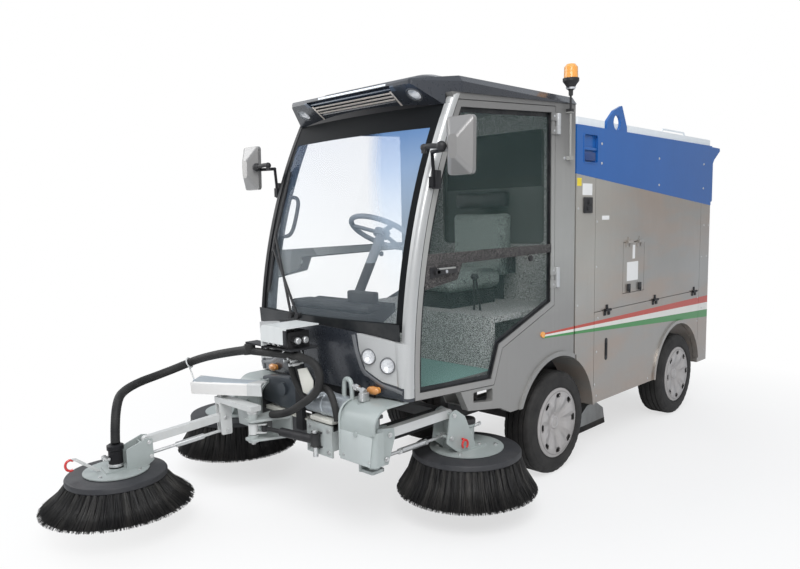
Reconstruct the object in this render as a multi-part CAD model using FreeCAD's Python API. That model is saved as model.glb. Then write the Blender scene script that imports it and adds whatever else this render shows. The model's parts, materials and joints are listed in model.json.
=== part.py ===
"""Compact street sweeper: a suction sweeper with a one-seat cab, two side brushes on swing arms, a third brush
on a front boom, and a tipping hopper over a body whose lower side panels hinge up.

Millimetres. The machine's own frame has X to its left, Y to its rear from the front axle, and Z up from the
floor. Every piece is drawn there and moved by ORIGIN when it is written, which puts the origin on the floor
under the middle of the parked machine.
"""
import FreeCAD
import Part
import math
import os

Vec = FreeCAD.Vector

# ------------------------------------------------------------------ driving dimensions
ORIGIN = Vec(-233.0, -20.0, 0.0)

WHEELBASE = 1690.0
WHEEL_X = 490.0            # middle plane of each wheel from the centre plane
TYRE_R = 305.0
TYRE_W = 185.0
RIM_R = 200.0
COVER_R = 206.0
SLOTS = 8                  # oval slots near the cover's edge
SLOT_RING = 166.0
SLOT_R = 9.0
HUB_R = 25.0
STUB_OUT = 43.0            # axle stub past the wheel's middle plane
ARCH_R = 402.0             # front wheel arch
ARCH_Y = -15.0
REAR_ARCH_R = 392.0
ARCH_LIP = 26.0            # width of the flared lip round an arch
LIP_PROUD = 12.0
LINER_X = 385.0            # inner edge of the splash liners over the wheels
LINER_T = 6.0
STEP_IN = 430.0            # inner end of the entry step

HALF_W = 585.0             # outer skin of cab and body
WALL = 40.0                # cab side and rear walls
PANEL = 28.0               # body panels
GAP = 4.0                  # seam between panels
SEAT = 0.3                 # clearance at a seat between bodies
PIN_CLEAR = 0.3
HINGE_R = 9.0              # barrel of a panel or door hinge
HINGE_PIN_R = 4.0
LEAF_T = 5.0

POLE_X = HALF_W + 21       # beacon pole
POLE_Y = 74.0
POLE_R = 6.0

CAB_REAR = 165.0
CAB_TOP_REAR = 2159.0
CAB_TOP_FRONT = 2104.0
CAB_FRONT_TOP_Y = -948.0
NOSE_BACK = -1233.0        # seam between nose and door
FLOOR_Z = 718.0            # top of the foot well
FLOOR_T = 35.0
SEAT_BOX_Y = -600.0        # front face of the box under the seat
SEAT_BOX_Z = 1000.0
DOOR_T = 34.0
DOOR_FRAME = 32.0
GLASS_T = 6.0
GLASS_SET = 38.0           # windscreen's face forward of the door's front edge, at the pillar
GLASS_TOP = 2052.0
GLASS_BOW = 68.0           # windscreen's bulge at its foot
GLASS_TOP_BOW = 50.0
PILLAR_W = 44.0
PILLAR_ROUND = 24.0
PILLAR_D = 42.0            # pillar across the machine

BODY_FRONT = 181.0
BODY_REAR = 2250.0
STRIP_END = 408.0          # seam behind the front corner strip
POST_W = 182.0
POST_START = BODY_REAR - POST_W
BODY_BOTTOM = 335.0
HINGE_Z = 917.0            # hinge line of the lower side panels
DECK_FRONT_Z = 1764.0      # top of the deck under the hopper, at the body's front
DECK_REAR_Z = 1584.0
DECK_T = 30.0
HOPPER_TOP = 2050.0
HOPPER_REAR = BODY_REAR + 8
HOPPER_WALL = 24.0

RAIL_IN = 190.0
RAIL_OUT = 244.0
RAIL_LOW = 380.0
RAIL_TOP = 460.0
BEAM_Y = -1365.0           # front cross beam, middle
BEAM_HALF = 35.0
REAR_MEMBER_Y = BODY_REAR - PANEL - 60
TOW_EYE_R = 20.0
KINGPIN_X = 430.0
AXLE_Z = TYRE_R

SWING_X = 440.0            # side brush swing pins
SWING_Y = -1360.0
SWING_PIN_R = 18.0
LEFT_SWING = 81.5          # side arm's heading from straight out, degrees
RIGHT_SWING = 17.5
ARM_IN = 70.0              # arm pin from the swing pin
ARM_REACH = 377.0          # arm, pin to pin
ARM_Z = 520.0
ARM_RISE = 26.0
ROD_BACK = 20.0            # lower rod's pins from the arm's: back and down
ROD_DOWN = 112.0
BRUSH_REACH = 581.0        # brush spindle from the swing pin
BLOCK_R = 280.0
BLOCK_TOP = 345.0
BLOCK_T = 35.0
TIP_R = 365.0
TIP_Z = 130.0
PLATE_R = 190.0

BOOM_X = -235.0            # front boom's swing pin
BOOM_Y = -1565.0
BOOM_COVER = Vec(-702, -1650, 654)     # right front corner of the sheet over the boom
LIFT_X = -520.0            # front arm's inner pin
LIFT_Y = -1562.0
FRONT_HEADING = -100.1     # front arm's heading, degrees from +X
FRONT_ARM_Z = 480.0
FRONT_ARM_REACH = 409.0
FRONT_ARM_RISE = -50.0
FRONT_ROD_DOWN = 74.0
FRONT_BRUSH_REACH = 560.0
FRONT_BLOCK_R = 239.0
FRONT_BLOCK_TOP = 304.0
FRONT_TIP_Z = 142.0
FRONT_PLATE_R = 156.0


# ------------------------------------------------------------------ shape helpers
def wire_of(start, *steps):
    """A closed wire: each step is a point for a line, or a (middle, end) pair for an arc."""
    edges = []
    here = start
    for step in steps:
        if isinstance(step, tuple):
            edges.append(Part.Arc(here, step[0], step[1]).toShape())
            here = step[1]
        else:
            edges.append(Part.LineSegment(here, step).toShape())
            here = step
    if here.distanceToPoint(start) > 1e-6:
        edges.append(Part.LineSegment(here, start).toShape())
    return Part.Wire(edges)


def rounded(points, radius):
    """A closed wire through the points, with every corner rounded to the radius."""
    edges = []
    corners = []
    count = len(points)
    for i, p in enumerate(points):
        to_last = (points[i - 1] - p).normalize()
        to_next = (points[(i + 1) % count] - p).normalize()
        half = to_last.getAngle(to_next) / 2
        reach = radius / math.tan(half)
        centre = p + (to_last + to_next).normalize() * (radius / math.sin(half))
        middle = centre + (p - centre).normalize() * radius
        corners.append((p + to_last * reach, middle, p + to_next * reach))
    for i, (begin, middle, end) in enumerate(corners):
        edges.append(Part.Arc(begin, middle, end).toShape())
        after = corners[(i + 1) % count][0]
        if end.distanceToPoint(after) > 1e-6:
            edges.append(Part.LineSegment(end, after).toShape())
    return Part.Wire(edges)


def plane_points(plane, pairs, level):
    """Pairs of numbers as points on the plane across x, y or z at that level."""
    if plane == "x":
        return [Vec(level, a, b) for a, b in pairs]
    if plane == "y":
        return [Vec(a, level, b) for a, b in pairs]
    return [Vec(a, b, level) for a, b in pairs]


def along(plane, length):
    """A vector of that length across the plane."""
    return {"x": Vec(length, 0, 0), "y": Vec(0, length, 0), "z": Vec(0, 0, length)}[plane]


def prism(plane, pairs, low, high, radius=0.0):
    """A straight prism on an outline of number pairs, from low to high across the plane."""
    points = plane_points(plane, pairs, low)
    wire = rounded(points, radius) if radius else Part.makePolygon(points + points[:1])
    return Part.Face(wire).extrude(along(plane, high - low))


def slab(wire, plane, low, high):
    """A prism from low to high on a wire that lies at level zero."""
    return Part.Face(wire).extrude(along(plane, high - low)).translated(along(plane, low))


def box(x0, x1, y0, y1, z0, z1):
    """A box between two corners."""
    return Part.makeBox(x1 - x0, y1 - y0, z1 - z0, Vec(x0, y0, z0))


def rod(a, b, radius):
    """A round bar from point a to point b."""
    return Part.makeCylinder(radius, (b - a).Length, a, b - a)


def tube(a, b, radius, bore):
    """A round tube from point a to point b."""
    return rod(a, b, radius).cut(rod(a, b, bore))


def turned(axis, pairs):
    """A solid of revolution about x or z: pairs are (along the axis, from the axis)."""
    if axis == "x":
        points = [Vec(a, 0, r) for a, r in pairs]
    else:
        points = [Vec(r, 0, a) for a, r in pairs]
    wire = Part.makePolygon(points + points[:1])
    return Part.Face(wire).revolve(Vec(0, 0, 0), along(axis, 1.0), 360)


def joined(*shapes):
    """One solid out of shapes that meet."""
    return shapes[0].fuse(list(shapes[1:])).removeSplitter()


def mirrored(shape):
    """The same piece on the machine's other side."""
    return shape.mirror(Vec(0, 0, 0), Vec(1, 0, 0))


def both_sides(shape):
    """A left piece and its mirror image."""
    return Part.makeCompound([shape, mirrored(shape)])


def placed(shape, heading, x, y):
    """A piece drawn along +X from the origin, turned to its heading and moved to its pin."""
    turned_piece = shape.copy()
    turned_piece.rotate(Vec(0, 0, 0), Vec(0, 0, 1), heading)
    return turned_piece.translated(Vec(x, y, 0))


def save(node, *shapes):
    """Write one sub-part in the exported frame."""
    whole = shapes[0] if len(shapes) == 1 else Part.makeCompound(list(shapes))
    whole.translated(ORIGIN * -1).exportStep("parts/%s.step" % node)


# ------------------------------------------------------------------ outlines shared by neighbours
def arc_y(z, low, middle, high):
    """Y at height z on the arc through three (y, z) points that bows forwards."""
    (y1, z1), (y2, z2), (y3, z3) = low, middle, high
    d = 2 * (y1 * (z2 - z3) + y2 * (z3 - z1) + y3 * (z1 - z2))
    s1, s2, s3 = y1 * y1 + z1 * z1, y2 * y2 + z2 * z2, y3 * y3 + z3 * z3
    cy = (s1 * (z2 - z3) + s2 * (z3 - z1) + s3 * (z1 - z2)) / d
    cz = (s1 * (y3 - y2) + s2 * (y1 - y3) + s3 * (y2 - y1)) / d
    return cy - math.sqrt((y1 - cy) ** 2 + (z1 - cz) ** 2 - (z - cz) ** 2)


DOOR_FRONT_LOW = (-1226.0, 684.0)
DOOR_FRONT_MID = (-1172.0, 1300.0)
DOOR_FRONT_TOP = (-898.0, 2072.0)
DOOR_REAR_TOP = (-55.0, 2124.0)
DOOR_DIAGONAL_TOP = (-53.0, 1011.0)
DOOR_DIAGONAL_LOW = (-554.0, 833.0)
DOOR_REAR_LOW = (-628.0, 651.0)


def door_wire(inset):
    """The door's outline at x = 0, moved inwards by inset (outwards if negative)."""
    def at(pair):
        return Vec(0, pair[0], pair[1])

    wire = wire_of(
        at(DOOR_FRONT_LOW),
        (at(DOOR_FRONT_MID), at(DOOR_FRONT_TOP)),
        at(DOOR_REAR_TOP),
        at(DOOR_DIAGONAL_TOP),
        at(DOOR_DIAGONAL_LOW),
        at(DOOR_REAR_LOW),
    )
    if inset == 0:
        return wire
    return wire.makeOffset2D(-inset, 2)


def pillar_line(z, forward):
    """Y of the windscreen pillar at height z, measured forward from the door's front edge."""
    return arc_y(z, DOOR_FRONT_LOW, DOOR_FRONT_MID, DOOR_FRONT_TOP) - GAP - forward


def roof_line(y):
    """Height of the sloping seam between cab and roof."""
    share = (y - CAB_REAR) / (CAB_FRONT_TOP_Y - CAB_REAR)
    return CAB_TOP_REAR + (CAB_TOP_FRONT - CAB_TOP_REAR) * share


def deck_z(y):
    """Height of the sloping seam between body and hopper."""
    share = (y - BODY_FRONT) / (BODY_REAR - BODY_FRONT)
    return DECK_FRONT_Z + (DECK_REAR_Z - DECK_FRONT_Z) * share


def arch_cut(centre_y, radius):
    """The round space that a wheel arch leaves, right across the machine."""
    return rod(Vec(-HALF_W - 100, centre_y, AXLE_Z), Vec(HALF_W + 100, centre_y, AXLE_Z), radius)


def arch_liner(centre_y, radius, outer_x):
    """The curved splash liner over a left wheel, out to outer_x."""
    return tube(Vec(LINER_X, centre_y, AXLE_Z), Vec(outer_x, centre_y, AXLE_Z), radius + LINER_T, radius)


def arch_lip(centre_y, radius, y0, y1, z0):
    """The flared lip round a left wheel arch, kept between y0 and y1 and above z0."""
    ring = tube(
        Vec(HALF_W - 6, centre_y, AXLE_Z),
        Vec(HALF_W + LIP_PROUD, centre_y, AXLE_Z),
        radius + ARCH_LIP,
        radius,
    )
    return ring.common(box(HALF_W - 10, HALF_W + 50, y0, y1, z0, 1500))


# ------------------------------------------------------------------ chassis
def chassis_rail():
    """Left chassis rail with its two cab mounts."""
    rail = box(RAIL_IN, RAIL_OUT, BEAM_Y + BEAM_HALF + SEAT, REAR_MEMBER_Y - SEAT, RAIL_LOW, RAIL_TOP)
    mounts = [box(RAIL_IN, RAIL_OUT, y, y + 50, RAIL_TOP, FLOOR_Z - FLOOR_T) for y in (-1180.0, SEAT_BOX_Y)]
    return joined(rail, *mounts)


def cross_members():
    """Three cross members between the rails."""
    half = RAIL_IN - SEAT
    return [box(-half, half, y, y + 60, RAIL_LOW + 10, RAIL_TOP - 10) for y in (-640.0, 620.0, 1250.0)]


def rear_member():
    """Rear cross member with the tow eye on its middle."""
    beam = box(-500, 500, REAR_MEMBER_Y, BODY_REAR - PANEL - SEAT, RAIL_LOW, RAIL_TOP)
    low, high = RAIL_LOW + 20, RAIL_LOW + 40
    eye = prism("z", [(-60, BODY_REAR), (60, BODY_REAR), (45, BODY_REAR + 70), (-45, BODY_REAR + 70)], low, high, 8)
    neck = box(-60, 60, BODY_REAR - PANEL - 10, BODY_REAR + 10, low, high)
    hole = rod(Vec(0, BODY_REAR + 38, RAIL_LOW), Vec(0, BODY_REAR + 38, RAIL_TOP), TOW_EYE_R)
    return joined(beam, neck, eye.cut(hole))


def front_beam():
    """Front cross beam with the side brushes' swing pins and the boom's pivot plates."""
    beam_end = SWING_X - 55
    parts = [box(-beam_end, beam_end, BEAM_Y - BEAM_HALF, BEAM_Y + BEAM_HALF, 420, 520)]
    cheek = box(beam_end, beam_end + 12, SWING_Y - 45, SWING_Y + 45, 350, 618)
    upper = prism("z", [(beam_end, SWING_Y - 40), (SWING_X + 32, SWING_Y - 40),
                        (SWING_X + 32, SWING_Y + 40), (beam_end, SWING_Y + 40)], 604, 618, 10)
    lower = upper.translated(Vec(0, 0, 350 - 604))
    pin = rod(Vec(SWING_X, SWING_Y, 350), Vec(SWING_X, SWING_Y, 668), SWING_PIN_R)
    for piece in (cheek, upper, lower, pin):
        parts += [piece, mirrored(piece)]
    face = box(60, 250, BEAM_Y - 85, BEAM_Y - 75, 392, 545)
    for x in (60, 242):
        parts.append(box(x, x + 8, BEAM_Y - 76, BEAM_Y - BEAM_HALF, 424, 516))
    stub = box(90, 220, BEAM_Y - 75, BEAM_Y - BEAM_HALF, 420, 500)
    parts += [face, stub]
    for z in (408.0, 508.0):
        arm = prism("z", [(BOOM_X - 32, BOOM_Y - 32), (BOOM_X + 32, BOOM_Y - 32),
                          (-120, BEAM_Y - 30), (-290, BEAM_Y - 30)], z, z + 12, 12)
        parts.append(arm)
    for z0, z1 in ((400, 436), (500, 560)):
        parts.append(rod(Vec(BOOM_X, BOOM_Y, z0), Vec(BOOM_X, BOOM_Y, z1), 26))
    parts.append(box(-290, -120, BEAM_Y - 45, BEAM_Y - BEAM_HALF, 400, 520))
    return joined(*parts).cut(rod(Vec(BOOM_X, BOOM_Y, 390), Vec(BOOM_X, BOOM_Y, 570), 15 + PIN_CLEAR))


def front_axle():
    """The front axle beam with a forked end round each knuckle."""
    beam = box(-(KINGPIN_X - 60), KINGPIN_X - 60, -32, 32, AXLE_Z - 30, AXLE_Z + 30)
    seat = box(RAIL_IN, RAIL_OUT, -30, 30, AXLE_Z + 30, RAIL_LOW)
    parts = [beam, seat, mirrored(seat)]
    for side in (1, -1):
        web = box(KINGPIN_X - 70, KINGPIN_X - 58, -28, 28, AXLE_Z - 84, AXLE_Z + 84)
        for z in (AXLE_Z - 84, AXLE_Z + 68):
            ear = prism("z", [(KINGPIN_X - 66, -26), (KINGPIN_X + 24, -26),
                              (KINGPIN_X + 24, 26), (KINGPIN_X - 66, 26)], z, z + 16, 8)
            parts.append(ear if side > 0 else mirrored(ear))
        pin = rod(Vec(KINGPIN_X, 0, AXLE_Z - 92), Vec(KINGPIN_X, 0, AXLE_Z + 92), 12)
        parts += [web, pin] if side > 0 else [mirrored(web), mirrored(pin)]
    return joined(*parts)


def rear_axle():
    """The rear axle tube with its final drive housing and a stub for each wheel."""
    housing = turned("x", [(-120, 0), (-120, 46), (-50, 92), (50, 92), (120, 46), (120, 0)])
    axle = rod(Vec(-380, 0, 0), Vec(380, 0, 0), 44)
    stub = rod(Vec(-WHEEL_X - STUB_OUT, 0, 0), Vec(WHEEL_X + STUB_OUT, 0, 0), HUB_R)
    whole = housing.fuse([axle, stub]).translated(Vec(0, WHEELBASE, AXLE_Z))
    seat = box(RAIL_IN, RAIL_OUT, WHEELBASE - 34, WHEELBASE + 34, AXLE_Z, RAIL_LOW)
    return joined(whole, seat, mirrored(seat))


def knuckle():
    """Left steering knuckle: a hub round the kingpin, the stub axle and a steering arm."""
    hub = rod(Vec(KINGPIN_X, 0, AXLE_Z - 67), Vec(KINGPIN_X, 0, AXLE_Z + 67), 32)
    stub = rod(Vec(KINGPIN_X, 0, AXLE_Z), Vec(WHEEL_X + STUB_OUT, 0, AXLE_Z), HUB_R)
    flange = rod(Vec(WHEEL_X - 36, 0, AXLE_Z), Vec(WHEEL_X - 24, 0, AXLE_Z), 60)
    arm = box(KINGPIN_X - 12, KINGPIN_X + 12, 10, 130, AXLE_Z - 60, AXLE_Z - 44)
    whole = joined(hub, stub, flange, arm)
    return whole.cut(rod(Vec(KINGPIN_X, 0, 0), Vec(KINGPIN_X, 0, 600), 12 + PIN_CLEAR))


def tyre():
    """A road tyre about the X axis, its tread band plain."""
    half = TYRE_W / 2
    wire = wire_of(
        Vec(-half + 14, 0, RIM_R),
        (Vec(-half, 0, RIM_R + 50), Vec(-half + 10, 0, TYRE_R - 18)),
        (Vec(-half + 15, 0, TYRE_R - 6), Vec(-half + 30, 0, TYRE_R - 1)),
        Vec(-half + 62, 0, TYRE_R),
        Vec(half - 62, 0, TYRE_R),
        Vec(half - 30, 0, TYRE_R - 1),
        (Vec(half - 15, 0, TYRE_R - 6), Vec(half - 10, 0, TYRE_R - 18)),
        (Vec(half, 0, RIM_R + 50), Vec(half - 14, 0, RIM_R)),
    )
    return Part.Face(wire).revolve(Vec(0, 0, 0), Vec(1, 0, 0), 360)


def wheel():
    """A left wheel about the X axis: rim barrel, disc and a slotted cover on the outer side."""
    half = TYRE_W / 2
    barrel = turned("x", [(-half + 14, RIM_R - 14), (-half + 14, RIM_R), (half - 14, RIM_R), (half - 14, RIM_R - 14)])
    disc = turned("x", [(20, HUB_R + PIN_CLEAR), (20, RIM_R - 6), (30, RIM_R - 6), (44, 70), (44, HUB_R + PIN_CLEAR)])
    cover_profile = wire_of(
        Vec(44, 0, 60),
        Vec(44, 0, 0),
        Vec(76, 0, 0),
        (Vec(75, 0, 20), Vec(70, 0, 36)),
        Vec(64, 0, 42),
        Vec(66, 0, 52),
        (Vec(84, 0, 100), Vec(92, 0, 148)),
        (Vec(96, 0, 178), Vec(88, 0, COVER_R)),
        Vec(84, 0, COVER_R),
        (Vec(88, 0, 178), Vec(84, 0, 150)),
        (Vec(77, 0, 108), Vec(60, 0, 60)),
    )
    cover = Part.Face(cover_profile).revolve(Vec(0, 0, 0), Vec(1, 0, 0), 360)
    slot = rod(Vec(40, -16, SLOT_RING), Vec(110, -16, SLOT_RING), SLOT_R)
    slot = slot.fuse([box(40, 110, -16, 16, SLOT_RING - SLOT_R, SLOT_RING + SLOT_R), slot.translated(Vec(0, 32, 0))])
    slots = []
    for i in range(SLOTS):
        turn = slot.copy()
        turn.rotate(Vec(0, 0, 0), Vec(1, 0, 0), 360.0 * i / SLOTS)
        slots.append(turn)
    return joined(barrel, disc, cover.cut(slots))


# ------------------------------------------------------------------ cab
def cab_side():
    """Left cab wall with the door opening, wheel arch and liner, entry step and the door's fixed hinge halves."""
    outline = [(CAB_REAR, roof_line(CAB_REAR)), (-948, roof_line(-948)), (-880, 2000), (-880, 690), (-900, 664),
               (-841, 555), (-572, 514), (-482, 472), (-300, 472), (-200, 600), (CAB_REAR, 600)]
    wall = prism("x", outline, HALF_W - WALL, HALF_W)
    wall = wall.cut(arch_cut(ARCH_Y, ARCH_R))
    wall = wall.cut(slab(door_wire(-GAP), "x", HALF_W - WALL - 1, HALF_W + 1))
    wall = wall.cut(pillar_block(-GAP / 2, HALF_W - PILLAR_D - 50, HALF_W + 1))
    step_hole = prism("x", [(-800, 588), (-640, 566), (-640, 634), (-800, 640)],
                      HALF_W - WALL - 1, HALF_W + 1, 8)
    wall = wall.cut(step_hole)
    lip = arch_lip(ARCH_Y, ARCH_R, -600, CAB_REAR, 472)
    liner = arch_liner(ARCH_Y, ARCH_R, HALF_W - WALL / 2).common(box(0, HALF_W, -600, CAB_REAR, 472, 1500))
    tread = prism("x", [(-835, 570), (-585, 530), (-585, 536), (-835, 576)], STEP_IN, HALF_W - WALL)
    back = prism("x", [(-880, 657), (-835, 570), (-585, 530), (-585, 657)], STEP_IN, STEP_IN + 10)
    return joined(wall, lip, liner, tread, back, *door_hinges()[0])


def cab_inner():
    """Floor, box under the seat and rear wall with its window opening, between the cab's sides."""
    inner = HALF_W - WALL - SEAT
    floor = prism("z", [(-inner, SEAT_BOX_Y - SEAT), (-inner, -1208), (-500, -1234), (0, -1284), (500, -1234),
                        (inner, -1208), (inner, SEAT_BOX_Y - SEAT)], FLOOR_Z - FLOOR_T, FLOOR_Z)
    riser = box(-inner, inner, SEAT_BOX_Y, SEAT_BOX_Y + FLOOR_T, FLOOR_Z - FLOOR_T, SEAT_BOX_Z - FLOOR_T - SEAT)
    bench = box(-inner, inner, SEAT_BOX_Y, CAB_REAR - WALL - SEAT, SEAT_BOX_Z - FLOOR_T, SEAT_BOX_Z)
    rear = box(-inner, inner, CAB_REAR - WALL, CAB_REAR, 720, roof_line(CAB_REAR - WALL))
    return [floor, riser, bench, rear.cut(rear_opening(WALL + 2))]


def rear_opening(depth):
    """The rear window's rounded outline as a block across the cab's rear wall, of that depth."""
    middle = CAB_REAR - WALL / 2
    return prism("y", [(-400, 1350), (400, 1350), (400, 2040), (-400, 2040)], middle - depth / 2, middle + depth / 2, 40)


def front_section(half, corner_y, centre_y, thick, z):
    """A bowed section of the cab's front: outer arc, corner arcs, and the same moved in by thick."""
    back = NOSE_BACK
    inner = half - thick
    return wire_of(
        Vec(half, back, z),
        (Vec(half - 16, (back + corner_y) / 2 - 14, z), Vec(half - 62, corner_y, z)),
        (Vec(0, centre_y, z), Vec(-half + 62, corner_y, z)),
        (Vec(-half + 16, (back + corner_y) / 2 - 14, z), Vec(-half, back, z)),
        Vec(-inner, back, z),
        (Vec(-inner + 14, (back + corner_y + thick) / 2 - 6, z), Vec(-half + 70, corner_y + thick, z)),
        (Vec(0, centre_y + thick, z), Vec(half - 70, corner_y + thick, z)),
        (Vec(inner - 14, (back + corner_y + thick) / 2 - 6, z), Vec(inner, back, z)),
    )


def nose_shell():
    """The whole lower front of the cab, before it is split into nose and corner panels."""
    sections = [front_section(HALF_W, -1272.0, -1326.0, 30.0, 640.0),
                front_section(HALF_W, -1294.0, -1346.0, 30.0, 1010.0)]
    shell = Part.makeLoft(sections, True, True)
    band = wire_of(
        Vec(-HALF_W - 1, 0, 683),
        (Vec(0, 0, 708), Vec(HALF_W + 1, 0, 683)),
        Vec(HALF_W + 1, 0, 950),
        (Vec(0, 0, 1000), Vec(-HALF_W - 1, 0, 950)),
    )
    keep = Part.Face(band).extrude(Vec(0, 400, 0)).translated(Vec(0, -1500, 0))
    return shell.common(keep)


def corner_window(grow):
    """The left headlamp panel's outline seen from the front, as a cutter, grown by grow."""
    pairs = [(296, 1100), (314, 905), (346, 812), (440, 764), (HALF_W + 40, 736), (HALF_W + 40, 1100)]
    points = plane_points("y", pairs, -1500.0)
    wire = Part.makePolygon(points + points[:1])
    if grow:
        wire = wire.makeOffset2D(grow, 2)
    return Part.Face(wire).extrude(Vec(0, 400, 0))


HEADLAMPS = [(375.0, 878.0), (483.0, 846.0)]   # x and z of each lamp's centre
HEADLAMP_R = 37.0


def front_y(x):
    """Y of the cab's front face at about lamp height."""
    return -1347.0 + 52.0 * (x / (HALF_W - 62.0)) ** 2


def headlamp_drums(radius, start, depth):
    """A drum at each left headlamp, square to the nose, from start behind its face."""
    drums = []
    for x, z in HEADLAMPS:
        inwards = FreeCAD.Rotation(Vec(0, 0, 1), 9.0 + x / 40.0).multVec(Vec(0, 1, -0.07))
        face = Vec(x, front_y(x), z)
        drums.append(Part.makeCylinder(radius, depth, face + inwards * start, inwards))
    return drums


def pillar_block(grow, x0, x1):
    """The left windscreen pillar's solid between x0 and x1, its rear face moved back by -grow."""
    low, high = 700.0, 2100.0

    def edge(z, forward):
        return Vec(0, pillar_line(z, forward), z)

    wire = wire_of(
        edge(low, grow),
        (edge(1350, grow), edge(high, grow)),
        edge(high, PILLAR_W - 4),
        (edge(1350, PILLAR_W), edge(low, PILLAR_W)),
    )
    return slab(wire, "x", x0, x1)


def front_frame():
    """Windscreen pillars, header, and the corner panels that hold the headlamps."""
    pillar = pillar_block(0, HALF_W - PILLAR_D, HALF_W)
    outer = [e for e in pillar.Edges
             if abs(e.BoundBox.XMin - HALF_W) < 1e-3 and e.BoundBox.ZLength > 1000
             and e.BoundBox.YMin < pillar_line(700.0, PILLAR_W) + 5]
    pillar = pillar.makeFillet(PILLAR_ROUND, outer)
    corner = nose_shell().common(corner_window(0))
    pillar = pillar.cut(nose_shell())
    pillar = pillar.cut(roof_profile())
    half, y = HALF_W - PILLAR_D, pillar_line(GLASS_TOP, GLASS_SET)
    header = slab(wire_of(
        Vec(half, y, 0),
        (Vec(0, y - GLASS_TOP_BOW, 0), Vec(-half, y, 0)),
        Vec(-half, y + 36, 0),
        (Vec(0, y + 36 - GLASS_TOP_BOW, 0), Vec(half, y + 36, 0)),
    ), "z", GLASS_TOP, CAB_TOP_FRONT).cut(roof_profile())
    side = joined(corner, pillar).cut(headlamp_drums(HEADLAMP_R + SEAT, -30, 60))
    return joined(side, mirrored(side), header)


def nose_panel():
    """The dark centre of the nose with the strip that runs out under the headlamp panels."""
    cutter = corner_window(2.0)
    drums = headlamp_drums(HEADLAMP_R + SEAT, -30, 60)
    return nose_shell().cut([cutter, mirrored(cutter)] + drums + [mirrored(d) for d in drums])


def windscreen():
    """Curved windscreen between the pillars, from the cowl to the header."""
    sections = []
    half = HALF_W - PILLAR_D - SEAT
    for z, bow in ((1000.0, GLASS_BOW), (1350.0, GLASS_BOW), (1700.0, GLASS_BOW - 6), (GLASS_TOP, GLASS_TOP_BOW)):
        y = pillar_line(z, GLASS_SET)
        sections.append(wire_of(
            Vec(half, y, z),
            (Vec(0, y - bow, z), Vec(-half, y, z)),
            Vec(-half, y + GLASS_T, z),
            (Vec(0, y - bow + GLASS_T, z), Vec(half, y + GLASS_T, z)),
        ))
    return Part.makeLoft(sections, True, False)


def rear_window():
    """Flat glass in the cab's rear wall."""
    return rear_opening(GLASS_T)


def roof_profile():
    """The roof cap's side profile, right across: flat seat on the cab and an undercut visor."""
    rear = CAB_REAR + 18
    profile = [(rear, roof_line(rear) + SEAT), (rear, 2200), (-880, 2186), (-1085, 2166), (-1100, 2150),
               (-960, 2052), (CAB_FRONT_TOP_Y, 2052), (CAB_FRONT_TOP_Y, CAB_TOP_FRONT + SEAT)]
    return prism("x", profile, -700, 700)


def roof_plan(inset, z):
    """The roof cap's stepped plan at height z, moved inwards by inset."""
    half, nose, front = HALF_W + 8 - inset, 453 - inset, -1090 + inset / 3
    return rounded(plane_points("z", [(half, CAB_REAR + 18), (half, -880), (nose, front), (-nose, front),
                                      (-half, -880), (-half, CAB_REAR + 18)], z), 24)


def cab_roof():
    """Roof cap: a stepped plan that narrows to the visor, a raised middle, and an undercut front face."""
    sides = Part.makeLoft([roof_plan(0, 2000), roof_plan(0, 2158)], True, True)
    shoulder = Part.makeLoft([roof_plan(0, 2158), roof_plan(34, 2206)], True, True)
    cap = sides.fuse(shoulder).common(roof_profile())
    hump = Part.makeLoft([
        rounded(plane_points("z", [(430, 70), (430, -990), (-430, -990), (-430, 70)], 2160), 60),
        rounded(plane_points("z", [(395, 10), (395, -930), (-395, -930), (-395, 10)], 2212), 60),
        rounded(plane_points("z", [(330, -60), (330, -830), (-330, -830), (-330, -60)], 2240), 60),
    ], True, True)
    whole = joined(cap, hump)
    whole = whole.cut(roof_lamp_drums(35 + SEAT, -10, 38))
    grille = prism("y", [(-320, 2150), (-270, 2066), (270, 2066), (320, 2150)], -1200, -1010)
    slot = grille.common(visor_layer(12))
    whole = whole.cut(slot)
    blades = []
    for i in range(5):
        z = 2074 + 15.0 * i
        y = visor_y(z) + 4
        blades.append(prism("x", [(y, z), (y + 26, z + 4), (y + 26, z + 9), (y, z + 6)], -330, 330))
    return joined(whole, *[b.common(grille) for b in blades])


def visor_y(z):
    """Y of the visor's leaning front face."""
    return -1100.0 + (2150.0 - z) * 140.0 / 98.0


def visor_layer(depth):
    """The outer layer of the visor's leaning face."""
    return prism("x", [(-1130, 2171), (-1100 - 0.1, 2150), (-960, 2052), (-960 + depth, 2052 + depth),
                       (-1100 + depth, 2150 + depth)], -700, 700)


def roof_lamp_drums(radius, start, depth):
    """A drum at each roof lamp, square to the visor's leaning face."""
    drums = []
    for x in (422.0, -422.0):
        z = 2100.0
        direction = Vec(0, 98, 140).normalize()
        at = Vec(x, visor_y(z), z) + direction * start
        drums.append(Part.makeCylinder(radius, depth, at, direction))
    return drums


def lamps():
    """Clear lamps: four round headlamps and two roof lamps."""
    left = headlamp_drums(HEADLAMP_R, 2, 26)
    right = [mirrored(d) for d in left]
    return Part.makeCompound(left + right + roof_lamp_drums(35, 2, 26))


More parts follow.
